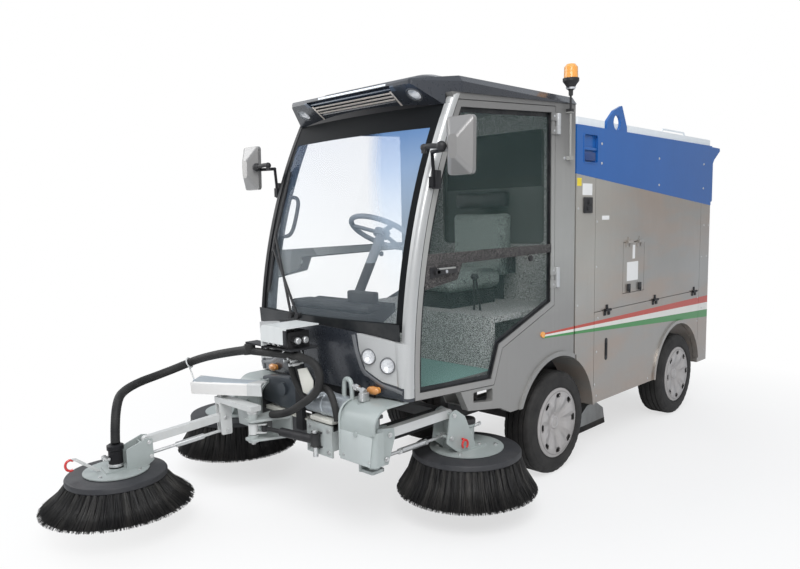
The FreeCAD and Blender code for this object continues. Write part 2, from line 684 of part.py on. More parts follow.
def marker_lamps():
    """Amber and red lenses: turn signals, side markers, beacon dome and tail lamps."""
    turn = prism("y", [(372, 706), (428, 706), (428, 736), (372, 736)], -1324, -1290, 12)
    turn = turn.cut(nose_shell())
    side = rod(Vec(HALF_W, -175, 854), Vec(HALF_W + 9, -175, 854), 17)
    tail = prism("x", [(BODY_REAR, 640), (BODY_REAR + 26, 650), (BODY_REAR + 26, 890), (BODY_REAR, 900)],
                 470, 560)
    dome = turned("z", [(2290, 0), (2290, 40), (2352, 38), (2368, 24), (2372, 0)])
    dome = dome.translated(Vec(POLE_X, POLE_Y, 0))
    pieces = [p for s in (turn, side, tail) for p in (s, mirrored(s))]
    return Part.makeCompound(pieces + [dome])


def beacon_pole():
    """Thin pole clamped to the cab's left rear corner, with the beacon's round base."""
    x, y = POLE_X, POLE_Y
    pole = rod(Vec(x, y, 1830), Vec(x, y, 2210), POLE_R)
    base = turned("z", [(2196, 0), (2196, 12), (2222, 13), (2256, 32), (2274, 46), (2290, 46), (2290, 0)])
    parts = [pole, base.translated(Vec(x, y, 0))]
    for z in (1836.0, 2100.0):
        parts.append(box(HALF_W, x + 12, y - 14, y + 14, z, z + 22))
    return joined(*parts)


WHEEL_HUB = Vec(0, -848, 1446)     # middle of the steering wheel
SEAT_BACK_Y = 90.0                 # rear face of the seat's backrest


def cab_console():
    """Dashboard, steering column and the seat's pedestal."""
    dash = prism("x", [(-1258, FLOOR_Z), (-1180, FLOOR_Z), (-1150, 1010), (-1060, 1060), (-1060, 1100), (-1250, 1060)],
                 -300, 300)
    lean = Vec(0, 0.5, math.sqrt(0.75))
    column = rod(WHEEL_HUB - lean * 464, WHEEL_HUB - lean * 24, 26)
    pedestal = box(-170, 170, -480, -60, SEAT_BOX_Z, SEAT_BOX_Z + 90)
    back = box(-120, 120, SEAT_BACK_Y + SEAT, SEAT_BACK_Y + 12, SEAT_BOX_Z, 1450)
    return Part.makeCompound([joined(dash, column), pedestal, back])


def steering_wheel():
    """Rim, hub and three spokes, leaning back on the column's axis."""
    rim = Part.makeTorus(180, 14)
    hub = Part.makeCylinder(44, 34, Vec(0, 0, -24))
    parts = [rim, hub]
    for angle in (90, 210, 330):
        spoke = box(20, 178, -12, 12, -12, 2)
        spoke.rotate(Vec(0, 0, 0), Vec(0, 0, 1), angle)
        parts.append(spoke)
    whole = joined(*parts)
    whole.rotate(Vec(0, 0, 0), Vec(1, 0, 0), -30)
    return whole.translated(WHEEL_HUB)


def seat():
    """Seat cushion and backrest, plain soft solids."""
    low = SEAT_BOX_Z + 90 + SEAT
    cushion = prism("x", [(-540, low), (-30, low), (-30, 1200), (-540, 1215)], -235, 235, 24)
    back = prism("x", [(-22, 1130), (SEAT_BACK_Y, 1130), (SEAT_BACK_Y, 1690), (14, 1690)], -230, 230, 24)
    return cushion, back


def mirror_left():
    """Door mirror: clamp, arm and box, drawn for the left side."""
    z = 1655.0
    y = pillar_line(z + 20, PILLAR_W / 2)
    clamp = box(HALF_W, HALF_W + 26, y - 18, y + 18, z, z + 50)
    foot = Vec(HALF_W + 18, y, z + 10)
    elbow = Vec(HALF_W + 18, y - 14, 1815)
    arm_end = Vec(770, -1165, 1815)
    stem = rod(foot, elbow, 8)
    arm = rod(elbow, arm_end, 9)
    rim = prism("y", [(722, 1702), (862, 1702), (868, 1952), (716, 1952)], -1142, -1122, 20)
    back = Part.makeLoft([
        rounded(plane_points("y", [(724, 1704), (860, 1704), (866, 1950), (718, 1950)], -1142), 20),
        rounded(plane_points("y", [(766, 1770), (812, 1770), (816, 1872), (764, 1872)], -1190), 20),
    ], True, True)
    head = rim.fuse(back)
    return joined(clamp, stem, Part.makeSphere(9, elbow), arm, head)


def wiper():
    """Two parallel arms from the cowl to a long upright blade beside the right pillar."""
    half = HALF_W - PILLAR_D

    def front(x, z, proud):
        return Vec(x, pillar_line(z, GLASS_SET) - GLASS_BOW * (1 - (x / half) ** 2) - proud, z)

    blade_x = 72.0 - half
    low, high = front(blade_x, 1130, 14), front(blade_x, 1790, 14)
    middle = front(blade_x, 1450, 14)
    blade = joined(rod(low, middle, 8), rod(middle, high, 8), Part.makeSphere(8, middle))
    parts = [blade, rod(front(blade_x + 12, 1350, 22), front(blade_x, 1460, 16), 9)]
    for x, top in ((-190.0, 1440.0), (-130.0, 1370.0)):
        pivot = front(x, 1030, 22)
        parts.append(rod(pivot, front(blade_x + 12, top, 24), 7))
        parts.append(rod(pivot + Vec(0, -10, 0), pivot + Vec(0, 18, 0), 15))
    return joined(*parts)


def door_frame():
    """Left door: a frame with a mid rail; the outline is the cab's door opening less its seam."""
    outer = slab(door_wire(0), "x", HALF_W - DOOR_T, HALF_W)
    frame = outer.cut(slab(door_wire(DOOR_FRAME), "x", HALF_W - DOOR_T - 1, HALF_W + 1))
    return joined(frame, *door_hinges()[1])


def door_glass():
    """Left door glass, inside the frame."""
    return slab(door_wire(DOOR_FRAME), "x", HALF_W - 22, HALF_W - 22 + GLASS_T)


def door_rail():
    """Black mid rail with the handle plate, outside the glass, and the two hinge blocks."""
    x0 = HALF_W - 16
    rail = prism("x", [(-1140, 1196), (-985, 1236), (-965, 1306), (-90, 1320), (-90, 1356), (-1122, 1352)],
                 x0, HALF_W - 3, 8)
    handle = joined(box(HALF_W - 3, HALF_W + 16, -1070, -1050, 1262, 1286),
                    box(HALF_W + 8, HALF_W + 18, -1070, -950, 1262, 1286))
    return joined(rail, handle, box(HALF_W - 4, HALF_W + 10, -965, -950, 1262, 1286))


DOOR_HINGE_X = HALF_W + HINGE_R + 1.0
DOOR_HINGE_Y = -35.0
DOOR_HINGES = (1170.0, 2031.0)     # heights of the left door's hinges


def door_hinges():
    """Both hinges of the left door: (the cab's halves, the door's halves)."""
    halves = []
    for z in DOOR_HINGES:
        y = DOOR_HINGE_Y
        fixed_leaf = box(HALF_W, HALF_W + LEAF_T, y, y + 50, z - 60, z + 60)
        moving_leaf = box(HALF_W, HALF_W + LEAF_T, y - 62, y, z - 60, z + 60)
        halves.append(hinge(Vec(DOOR_HINGE_X, y, z), Vec(0, 0, 1), 90, fixed_leaf, moving_leaf))
    return [fixed for fixed, _ in halves], [moving for _, moving in halves]


# ------------------------------------------------------------------ rear body and hopper
def body_shell():
    """Front bulkhead with corner strips, sloping deck, and rear wall with corner posts."""
    x_in = HALF_W - PANEL
    front = box(-x_in, x_in, BODY_FRONT, BODY_FRONT + PANEL, 725, deck_z(BODY_FRONT) - DECK_T)
    foot = box(-RAIL_OUT, RAIL_OUT, BODY_FRONT, BODY_FRONT + PANEL, RAIL_TOP, 760)
    def under_deck(y0, y1, z0):
        return [(y0, z0), (y1, z0), (y1, deck_z(y1)), (y0, deck_z(y0))]

    strip = prism("x", under_deck(BODY_FRONT, STRIP_END, BODY_BOTTOM), x_in, HALF_W)
    strip = strip.cut(arch_cut(ARCH_Y, ARCH_R))
    lip = arch_lip(ARCH_Y, ARCH_R, BODY_FRONT, STRIP_END, BODY_BOTTOM)
    post = prism("x", under_deck(POST_START, BODY_REAR, BODY_BOTTOM), x_in, HALF_W)
    deck = prism("x", [(BODY_FRONT, deck_z(BODY_FRONT) - DECK_T), (BODY_REAR, deck_z(BODY_REAR) - DECK_T),
                       (BODY_REAR, deck_z(BODY_REAR)), (BODY_FRONT, deck_z(BODY_FRONT))], -x_in, x_in)
    rear = box(-x_in, x_in, BODY_REAR - PANEL, BODY_REAR, BODY_BOTTOM, deck_z(BODY_REAR) - DECK_T / 2)
    for i in range(9):
        z = 1010.0 + 44 * i
        rear = rear.cut(prism("x", [(BODY_REAR - PANEL - 1, z + 18), (BODY_REAR + 1, z), (BODY_REAR + 1, z + 16),
                                    (BODY_REAR - PANEL - 1, z + 34)], -380, 380))
    front_liner = arch_liner(ARCH_Y, ARCH_R, x_in + 1)
    front_liner = front_liner.common(box(0, HALF_W, BODY_FRONT, STRIP_END, BODY_BOTTOM, 1500))
    side = joined(strip, lip, post, front_liner, rear_liner())
    neck = box(-61, 61, BODY_REAR - PANEL - 1, BODY_REAR + 1, RAIL_LOW + 19, RAIL_LOW + 41)
    return joined(front, foot, side, mirrored(side), deck, rear.cut(neck))


def rear_liner():
    """Splash liner over the left rear wheel, with the strip that ties it to the rear wall."""
    outer_x = HALF_W - PANEL - GAP
    ring = arch_liner(WHEELBASE - 12, REAR_ARCH_R, outer_x).common(box(0, HALF_W, 0, BODY_REAR, BODY_BOTTOM, 1500))
    tie_y = WHEELBASE - 12 + REAR_ARCH_R - 4
    return ring.fuse(box(LINER_X, outer_x, tie_y, BODY_REAR - 1, BODY_BOTTOM, BODY_BOTTOM + LINER_T))


HATCH = (780.0, 1090.0, 1000.0, 1340.0)        # y0, y1, z0, z1 of the service hatch
HATCH_HINGE_YS = (855.0, 1015.0)
SKIRT_HINGE_YS = (567.0, 1266.0, POST_START - 106)
PANEL_HINGE_X = HALF_W + HINGE_R + 1.0


def panel_hinges(ys, z):
    """Hinges along the left side at height z: (the body's halves, the hanging panel's halves)."""
    halves = []
    for y in ys:
        upper = box(HALF_W, HALF_W + LEAF_T, y - 40, y + 40, z, z + 34)
        lower = box(HALF_W, HALF_W + LEAF_T, y - 40, y + 40, z - 34, z)
        halves.append(hinge(Vec(PANEL_HINGE_X, y, z), Vec(0, 1, 0), 72, upper, lower))
    return [fixed for fixed, _ in halves], [moving for _, moving in halves]


def upper_panel(with_hatch):
    """Fixed upper side panel between the strip and the rear post, drawn for the left side."""
    y0, y1 = STRIP_END + GAP, POST_START - GAP
    pairs = [(y0, HINGE_Z + GAP / 2), (y1, HINGE_Z + GAP / 2), (y1, deck_z(y1)), (y0, deck_z(y0))]
    panel = prism("x", pairs, HALF_W - PANEL, HALF_W)
    fixed = panel_hinges(SKIRT_HINGE_YS, HINGE_Z)[0]
    if with_hatch:
        a, b, low, high = HATCH
        panel = panel.cut(box(HALF_W - PANEL - 1, HALF_W + 1, a, b, low, high))
        fixed += panel_hinges(HATCH_HINGE_YS, high)[0]
    return joined(panel, *fixed)


def hatch():
    """Small service hatch in the left upper panel, with two latches at its foot."""
    a, b, low, high = HATCH
    lid = box(HALF_W - 20, HALF_W, a + GAP, b - GAP, low + GAP, high - GAP)
    latches = [box(HALF_W - 1, HALF_W + 6, y - 14, y + 14, low + 14, low + 62) for y in HATCH_HINGE_YS]
    return joined(lid, *(latches + panel_hinges(HATCH_HINGE_YS, high)[1]))


def skirt():
    """Hinged lower side panel with the rear wheel arch, drawn for the left side."""
    y0, y1 = STRIP_END + GAP, POST_START - GAP
    top = HINGE_Z - GAP / 2
    panel = prism("x", [(y0, BODY_BOTTOM), (y1, BODY_BOTTOM), (y1, top), (y0, top)], HALF_W - PANEL, HALF_W)
    panel = panel.cut(arch_cut(WHEELBASE - 12, REAR_ARCH_R))
    lip = arch_lip(WHEELBASE - 12, REAR_ARCH_R, y0, y1, BODY_BOTTOM)
    return joined(panel, lip, *panel_hinges(SKIRT_HINGE_YS, HINGE_Z)[1])


HOPPER_PIVOT = (BODY_REAR + 46.0, DECK_REAR_Z - 14.0)     # y and z
GATE_T = 26.0
COVER_T = 46.0
GATE_PIVOT = (HOPPER_REAR + SEAT + GATE_T - HINGE_R + 4, HOPPER_TOP + COVER_T + HINGE_R + 1)
EYE_Y = 684.0                                             # lifting eye
EYE_Z = HOPPER_TOP + 50
EYE_R = 48.0
GATE_HINGE_XS = (-400.0, 0.0, 400.0)


def hopper():
    """Tipping hopper: an open-backed tub on the sloping deck, with its lifting eyes and hinge lugs."""
    def tub(inset, y0, y1, top):
        pairs = [(y0, deck_z(y0) + SEAT + inset), (y1, deck_z(y1) + SEAT + inset), (y1, top), (y0, top)]
        return prism("x", pairs, -HALF_W + inset, HALF_W - inset)

    outer = tub(0.0, BODY_FRONT, HOPPER_REAR, HOPPER_TOP)
    inner = tub(HOPPER_WALL, BODY_FRONT + HOPPER_WALL, HOPPER_REAR + 10, HOPPER_TOP + 10)
    shell = outer.cut(inner)
    pocket = prism("x", [(262, 1832), (430, 1832), (430, 2004), (262, 2004)], HALF_W - 16, HALF_W + 1, 18)
    shell = shell.cut([pocket, mirrored(pocket)])
    eye = prism("x", [(EYE_Y - 150, HOPPER_TOP - 40), (EYE_Y + 133, HOPPER_TOP - 40), (EYE_Y + 133, EYE_Z - 20),
                      (EYE_Y + 62, EYE_Z + 112), (EYE_Y - 44, EYE_Z + 72), (EYE_Y - 128, EYE_Z + 2)],
                HALF_W - HOPPER_WALL, HALF_W - 6, 10)
    eye = eye.cut(rod(Vec(500, EYE_Y, EYE_Z), Vec(620, EYE_Y, EYE_Z), EYE_R))
    shell = joined(shell, eye, mirrored(eye))
    y, z = HOPPER_PIVOT
    lug = prism("x", [(HOPPER_REAR - 60, deck_z(HOPPER_REAR - 60) + SEAT + 2), (HOPPER_REAR, z + 30), (y + 16, z + 24),
                      (y + 16, z - 16), (y - 14, z - 16), (HOPPER_REAR + 4, z + 18)], 470, 490)
    shell = joined(shell, lug, mirrored(lug))
    return shell.cut(rod(Vec(-500, y, z), Vec(500, y, z), 8 + PIN_CLEAR))


def hopper_hinges():
    """Brackets and pins on the body's rear wall that carry the hopper's left hinge lug."""
    y, z = HOPPER_PIVOT
    parts = [rod(Vec(452, y, z), Vec(508, y, z), 8)]
    for x in (452.0, 496.0):
        parts.append(prism("x", [(BODY_REAR, z - 90), (y + 16, z - 14), (y + 16, z + 14), (BODY_REAR, z + 6)],
                           x, x + 12))
    return parts


def gate_hinges():
    """Hinges along the top of the tailgate: (the cover's halves, the gate's halves)."""
    y, z = GATE_PIVOT
    halves = []
    for x in GATE_HINGE_XS:
        over = box(x - 60, x + 60, y - 70, y, z - HINGE_R - 1, z - HINGE_R - 1 + LEAF_T)
        behind = box(x - 60, x + 60, y + 4, y + 4 + LEAF_T, z - 120, z)
        halves.append(hinge(Vec(x, y, z), Vec(1, 0, 0), 108, over, behind))
    return [fixed for fixed, _ in halves], [moving for _, moving in halves]


def hopper_cover():
    """Pale top cover with a raised lid and a grab rail, cut round the lifting eyes."""
    half, top = HALF_W - 10, HOPPER_TOP + COVER_T
    base = prism("z", [(-half, BODY_FRONT + 10), (half, BODY_FRONT + 10), (half, HOPPER_REAR - 4),
                       (-half, HOPPER_REAR - 4)], HOPPER_TOP, top, 20)
    notch = box(HALF_W - HOPPER_WALL - SEAT, HALF_W, EYE_Y - 156, EYE_Y + 139, HOPPER_TOP - 1, top + 1)
    base = base.cut([notch, mirrored(notch)])
    lid = Part.makeLoft([
        rounded(plane_points("z", [(430, 860), (430, 2110), (-430, 2110), (-430, 860)], top - 2), 40),
        rounded(plane_points("z", [(370, 930), (370, 2040), (-370, 2040), (-370, 930)], top + 34), 40),
    ], True, True)
    rail_x, rail_z, bend = half - 30, top + 26, Vec(0, 30, 0)
    a, b = Vec(rail_x, 1430, rail_z), Vec(rail_x, 1790, rail_z)
    down = Vec(0, 0, -30)
    rail = [rod(a, b, 6), rod(a, a - bend + down, 6), rod(b, b + bend + down, 6), Part.makeSphere(6, a),
            Part.makeSphere(6, b)]
    return joined(base, lid, *(rail + gate_hinges()[0]))


def tailgate():
    """Rear gate of the hopper, hung from hinges at its top, with a lug at each side."""
    low = HOPPER_PIVOT[1] + 40
    rear = HOPPER_REAR + SEAT + GATE_T
    plate = prism("y", [(-HALF_W, low), (HALF_W, low), (HALF_W, HOPPER_TOP - 2), (-HALF_W, HOPPER_TOP - 2)],
                  HOPPER_REAR + SEAT, rear, 14)
    rib = box(-500, 500, rear - 1, rear + 18, 1790, 1830)
    lug = prism("x", [(rear - 10, 1890), (rear + 36, 1946), (rear + 152, 2020), (rear + 148, 2042), (rear - 10, 2044)],
                HALF_W - 18, HALF_W - 4)
    return joined(plate, rib, lug, mirrored(lug), *gate_hinges()[1])


# ------------------------------------------------------------------ brushes
def bristle_ring(count, top_r, top_z, tip_r, tip_z, inner_top, inner_tip):
    """Bristle tufts round a brush: a pleated cone with one fold for each tuft, hollow inside."""
    def star(radius, depth, z):
        points = []
        for i in range(2 * count):
            r = radius if i % 2 else radius - depth
            a = math.pi * i / count
            points.append(Vec(r * math.cos(a), r * math.sin(a), z))
        return Part.makePolygon(points + points[:1])

    outer = Part.makeLoft([star(top_r, 9.0, top_z), star(tip_r, 16.0, tip_z)], True, True)
    inner = Part.makeCone(inner_tip, inner_top, top_z - tip_z, Vec(0, 0, tip_z))
    return outer.cut(inner)


def brush(block_r, block_top, tip_z, tufts, centre):
    """A rotary brush about the Z axis through centre: block, spindle hub and bristles."""
    low = block_top - BLOCK_T
    block = turned("z", [(low, 60), (low, block_r - 6), (low + 8, block_r), (block_top - 8, block_r),
                         (block_top, block_r - 6), (block_top, 14 + PIN_CLEAR), (low + 8, 14 + PIN_CLEAR),
                         (low + 8, 60)])
    ring = bristle_ring(tufts, block_r - 10, low + 0.01, TIP_R, tip_z, block_r - 90, TIP_R - 78)
    return joined(block, ring).translated(centre)


def eye_bar(a, b, width, height, eye_r, bore):
    """A bar of rectangular section between two pins across v, with a round eye at each end."""
    direction = (b - a).normalize()
    normal = Vec(-direction.z, 0, direction.x)
    half = height / 2
    corners = [a + normal * half, b + normal * half, b - normal * half, a - normal * half]
    bar = Part.Face(Part.makePolygon(corners + corners[:1])).extrude(Vec(0, width, 0))
    bar = bar.translated(Vec(0, -width / 2, 0))
    parts = [bar]
    holes = []
    for p in (a, b):
        parts.append(rod(p + Vec(0, -width / 2, 0), p + Vec(0, width / 2, 0), eye_r))
        holes.append(rod(p + Vec(0, -width, 0), p + Vec(0, width, 0), bore))
    return joined(*parts).cut(holes)


def turnbuckle(a, b, eye_r, bore):
    """A threaded rod with eyes and a six-sided sleeve in its middle."""
    direction = (b - a).normalize()
    length = (b - a).Length
    bar = rod(a + direction * (eye_r - 2), b - direction * (eye_r - 2), 8)
    sleeve = rod(a + direction * (length * 0.3), a + direction * (length * 0.66), 14)
    parts = [bar, sleeve]
    holes = []
    for p in (a, b):
        parts.append(rod(p + Vec(0, -9, 0), p + Vec(0, 9, 0), eye_r))
        holes.append(rod(p + Vec(0, -30, 0), p + Vec(0, 30, 0), bore))
    return joined(*parts).cut(holes)


def hinge(p, direction, length, fixed_leaf, moving_leaf):
    """A barrel hinge with its pin through p: the middle third and pin stay, the outer thirds move.

    Each leaf is a box already at its place; what lies outside that half's share of the barrel is cut off.
    """
    a, b = p - direction * (length / 2), p + direction * (length / 2)
    third = direction * (length / 3)
    gap = direction * PIN_CLEAR
    middle = rod(a + third, b - third, HINGE_R)
    outer = [tube(a, a + third - gap, HINGE_R, HINGE_PIN_R + PIN_CLEAR),
             tube(b - third + gap, b, HINGE_R, HINGE_PIN_R + PIN_CLEAR)]
    zone = rod(a + third - gap, b - third + gap, 200)
    fixed = joined(middle, rod(a, b, HINGE_PIN_R), fixed_leaf.common(rod(a + third, b - third, 200)))
    leaf = moving_leaf.cut(zone)
    return fixed, joined(*(outer + [leaf.cut(rod(a, b, HINGE_PIN_R + PIN_CLEAR))]))


def cross_pins(points, half, radius):
    """Round pins across v at each point."""
    return [rod(p + Vec(0, -half, 0), p + Vec(0, half, 0), radius) for p in points]


SIDE_ARM_A = Vec(ARM_IN, 0, ARM_Z)
SIDE_ARM_B = Vec(ARM_IN + ARM_REACH, 0, ARM_Z + ARM_RISE)
SIDE_ROD_A = SIDE_ARM_A + Vec(-ROD_BACK, 0, -ROD_DOWN)
SIDE_ROD_B = SIDE_ARM_B + Vec(-ROD_BACK, 0, -ROD_DOWN)


def side_bracket():
    """Swing bracket on the side brush's vertical pin, drawn along +X."""
    sleeve = rod(Vec(0, 0, 367), Vec(0, 0, 601), 28)
    cheek = prism("y", [(0, 380), (60, 380), (100, 500), (96, 548), (0, 560)], 24, 33)
    other = cheek.translated(Vec(0, -57, 0))
    web = box(10, 40, -33, 33, 470, 500)
    whole = joined(sleeve, cheek, other, web, *cross_pins([SIDE_ARM_A, SIDE_ROD_A], 36, 9))
    return whole.cut(rod(Vec(0, 0, 360), Vec(0, 0, 610), SWING_PIN_R + PIN_CLEAR))


def side_arm():
    """Upper arm of the side brush, drawn along +X."""
    return eye_bar(SIDE_ARM_A, SIDE_ARM_B, 40, 44, 24, 9 + PIN_CLEAR)


def side_rod():
    """Lower rod of the side brush, a turnbuckle."""
    return turnbuckle(SIDE_ROD_A, SIDE_ROD_B, 17, 9 + PIN_CLEAR)


def side_head():
    """Brush head: cheeks, foot, round cover plate, motor and spindle, drawn along +X."""
    plate_z = BLOCK_TOP + 3
    cheek = prism("y", [(400, 410), (424, 560), (462, 572), (520, 530), (590, 372), (590, plate_z + 8),
                        (470, plate_z + 8)], 50, 58, 8)
    other = cheek.translated(Vec(0, -108, 0))
    foot = box(470, 660, -66, 66, plate_z + 5, plate_z + 12)
    cover = Part.makeCylinder(PLATE_R, 5, Vec(BRUSH_REACH, 0, plate_z))
    motor = turned("z", [(plate_z + 12, 0), (plate_z + 12, 40), (454, 40), (462, 46), (487, 46), (495, 36), (495, 0)])
    motor = motor.translated(Vec(BRUSH_REACH, 0, 0))
    spindle = rod(Vec(BRUSH_REACH, 0, BLOCK_TOP - 24), Vec(BRUSH_REACH, 0, plate_z + 1), 14)
    web = box(470, 480, -58, 58, plate_z + 10, 500)
    return joined(cheek, other, foot, cover, motor, spindle, web,
                  *cross_pins([SIDE_ARM_B, SIDE_ROD_B], 60, 9))


def side_brush():
    """The side brush at its place along +X."""
    return brush(BLOCK_R, BLOCK_TOP, TIP_Z, 56, Vec(BRUSH_REACH, 0, 0))


def brush_guard():
    """Guard over the left swing pin: flat front wrapped round the outer corner, and a half-round top."""
    y0, y1, thick = -1462.0, -1235.0, 10.0
    x0, x1, bend, seam = 322.0, 550.0, 32.0, 572.0
    slant = math.sqrt(0.5)
    centre = Vec(x1 - bend, y0 + bend, 0)
    front = wire_of(
        Vec(x0, y0, 0),
        Vec(x1 - bend, y0, 0),
        (centre + Vec(bend * slant, -bend * slant, 0), Vec(x1, y0 + bend, 0)),
        Vec(x1, y0 + 62, 0),
        Vec(x1 - thick, y0 + 62, 0),
        Vec(x1 - thick, y0 + bend, 0),
        (centre + Vec((bend - thick) * slant, -(bend - thick) * slant, 0), Vec(x1 - bend, y0 + thick, 0)),
        Vec(x0, y0 + thick, 0),
    )
    top = wire_of(
        Vec(0, y0, seam - 8),
        Vec(0, y0, 580),
        (Vec(0, y0 + 29, 651), Vec(0, y0 + 100, 680)),
        Vec(0, y1, 680),
        Vec(0, y1, 680 - thick),
        Vec(0, y0 + 100, 680 - thick),
        (Vec(0, y0 + 29 + thick * slant, 651 - thick * slant), Vec(0, y0 + thick, 580)),
        Vec(0, y0 + thick, seam - 8),
    )
    riser = box(SWING_X - 55, SWING_X - 43, SWING_Y - 45, SWING_Y + 45, 618, 680 - thick / 2)
    bolt = rod(Vec(435, y0 - 8, seam - 20), Vec(435, y0 + 1, seam - 20), 12)
    return joined(slab(front, "z", 415, seam), slab(top, "x", x0, x1), riser, bolt)


FRONT_ARM_A = Vec(0, 0, FRONT_ARM_Z)
FRONT_ARM_B = Vec(FRONT_ARM_REACH, 0, FRONT_ARM_Z + FRONT_ARM_RISE)
FRONT_ROD_A = FRONT_ARM_A + Vec(-8, 0, -FRONT_ROD_DOWN)
FRONT_ROD_B = FRONT_ARM_B + Vec(-8, 0, -FRONT_ROD_DOWN)


def front_place(shape):
    """A front arm piece, drawn along +X from its inner pin, at its place."""
    return placed(shape, FRONT_HEADING, LIFT_X, LIFT_Y)


def front_boom():
    """Swinging boom of the front brush: pin, beam, hanging bracket and the folded cover above it."""
    pin = rod(Vec(BOOM_X, BOOM_Y, 396), Vec(BOOM_X, BOOM_Y, 566), 15)
    lever_hub = rod(Vec(BOOM_X, BOOM_Y, 440), Vec(BOOM_X, BOOM_Y, 496), 24)
    levers = []
    for z in (444.0, 486.0):
        eye = Vec(CYLINDER_EYE.x, CYLINDER_EYE.y, z)
        hub = Vec(BOOM_X, BOOM_Y, z)
        side = (eye - hub).normalize().cross(Vec(0, 0, 1)) * 14
        corners = [hub + side, eye + side, eye - side, hub - side]
        levers.append(Part.Face(Part.makePolygon(corners + corners[:1])).extrude(Vec(0, 0, 6)))
        levers.append(rod(eye, eye + Vec(0, 0, 6), 14))
    beam = box(LIFT_X - 30, BOOM_X + 32, BOOM_Y - 30, BOOM_Y + 30, 561, 588)
    cheek = prism("y", [(-34, 384), (24, 384), (30, 500), (34, 562), (-34, 562)], 22, 30, 8)
    other = cheek.translated(Vec(0, -52, 0))
    top = box(-34, 34, -30, 30, 552, 562)
    bracket = front_place(joined(cheek, other, top, *cross_pins([FRONT_ARM_A, FRONT_ROD_A], 33, 8)))
    post = box(LIFT_X - 20, LIFT_X + 20, BOOM_Y - 20, BOOM_Y + 20, 588, BOOM_COVER.z + 15.5)
    whole = joined(pin, lever_hub, beam, bracket, boom_cover(), post, *levers)
    return joined(whole, *hose_support())


def boom_cover():
    """Folded sheet over the boom: a four-sided top that rises to the machine's left, with a rounded front lip."""
    sheet = 4.0
    length = 520.0
    top = prism("z", [(0, 12), (length, 12), (length - 8, 60), (170, 112), (-110, 175)], -sheet, 0)
    fold = slab(wire_of(
        Vec(0, 0, -66),
        Vec(0, 0, -14),
        (Vec(0, 4, -4), Vec(0, 14, 0)),
        Vec(0, 14, -sheet),
        (Vec(0, 7, -7), Vec(0, sheet, -14)),
        Vec(0, sheet, -66),
    ), "x", 0, length)
    cover = joined(top, fold)
    cover.rotate(Vec(0, 0, 0), Vec(0, 1, 0), -5.2)
    cover.rotate(Vec(0, 0, 0), Vec(0, 0, 1), 12.5)
    return cover.translated(BOOM_COVER)


def hose_support():
    """Wire hoop that holds the hose over the right end of the boom's cover."""
    a, b = HOSE_ROUTE[1], HOSE_ROUTE[2]
    at = a + (b - a) * 0.5
    inner = HOSE_R + SEAT + 4
    hoop = Part.makeTorus(inner, 4, at, b - a)
    foot = BOOM_COVER + Vec(12, 22, -2)
    return [hoop, rod(foot, at + Vec(0, 0, -inner), 4)]


HOSE_R = 23.0
HOSE_ROUTE = [Vec(-277, -1565, 868), Vec(-640, -1568, 800), Vec(-835, -1690, 705), Vec(-792, -1960, 672),
              Vec(-640, -2096, 634), Vec(-618, -2111, 444)]


def cord_wire(points):
    """Straight runs through the points, joined by tangent arcs; prints each bend's radius."""
    edges = []
    here = points[0]
    radii = []
    for i in range(1, len(points) - 1):
        p = points[i]
        back, ahead = points[i - 1] - p, points[i + 1] - p
        half_turn = (math.pi - back.getAngle(ahead)) / 2
        reach = 0.45 * min(back.Length, ahead.Length)
        radii.append(reach / math.tan(half_turn))
        begin = p + back.normalize() * reach
        end = p + ahead.normalize() * reach
        centre_way = (begin + end) * 0.5 - p
        centre = p + centre_way.normalize() * (reach / math.sin(half_turn))
        middle = centre + (p - centre).normalize() * radii[-1]
        edges.append(Part.LineSegment(here, begin).toShape())
        edges.append(Part.Arc(begin, middle, end).toShape())
        here = end
    edges.append(Part.LineSegment(here, points[-1]).toShape())
    print("hose bends at radii", [round(r) for r in radii], "length", round(sum(e.Length for e in edges)))
    return Part.Wire(edges)


def brush_hose():
    """Hose bundle from the swivel elbow under the hood to the front brush's motor."""
    wire = cord_wire(HOSE_ROUTE)
    start = (HOSE_ROUTE[1] - HOSE_ROUTE[0]).normalize()
    section = Part.Wire(Part.Circle(HOSE_ROUTE[0], start, HOSE_R).toShape())
    return wire.makePipeShell([section], True, False)


def hose_elbow():
    """Swivel elbow on the boom's pin line, just under the hood, that turns the hose outwards."""
    end = HOSE_ROUTE[0]
    start = (HOSE_ROUTE[1] - end).normalize()
    top = Vec(BOOM_X, BOOM_Y, HOOD_LOW - SEAT)
    drum = rod(top, top + Vec(0, 0, -44), 27)
    return joined(drum, rod(end - start * 46, end - start * SEAT, 26))


def front_arm():
    """Upper arm of the front brush."""
    return front_place(eye_bar(FRONT_ARM_A, FRONT_ARM_B, 36, 40, 22, 8 + PIN_CLEAR))


def front_rod():
    """Lower rod of the front brush."""
    return front_place(turnbuckle(FRONT_ROD_A, FRONT_ROD_B, 15, 8 + PIN_CLEAR))


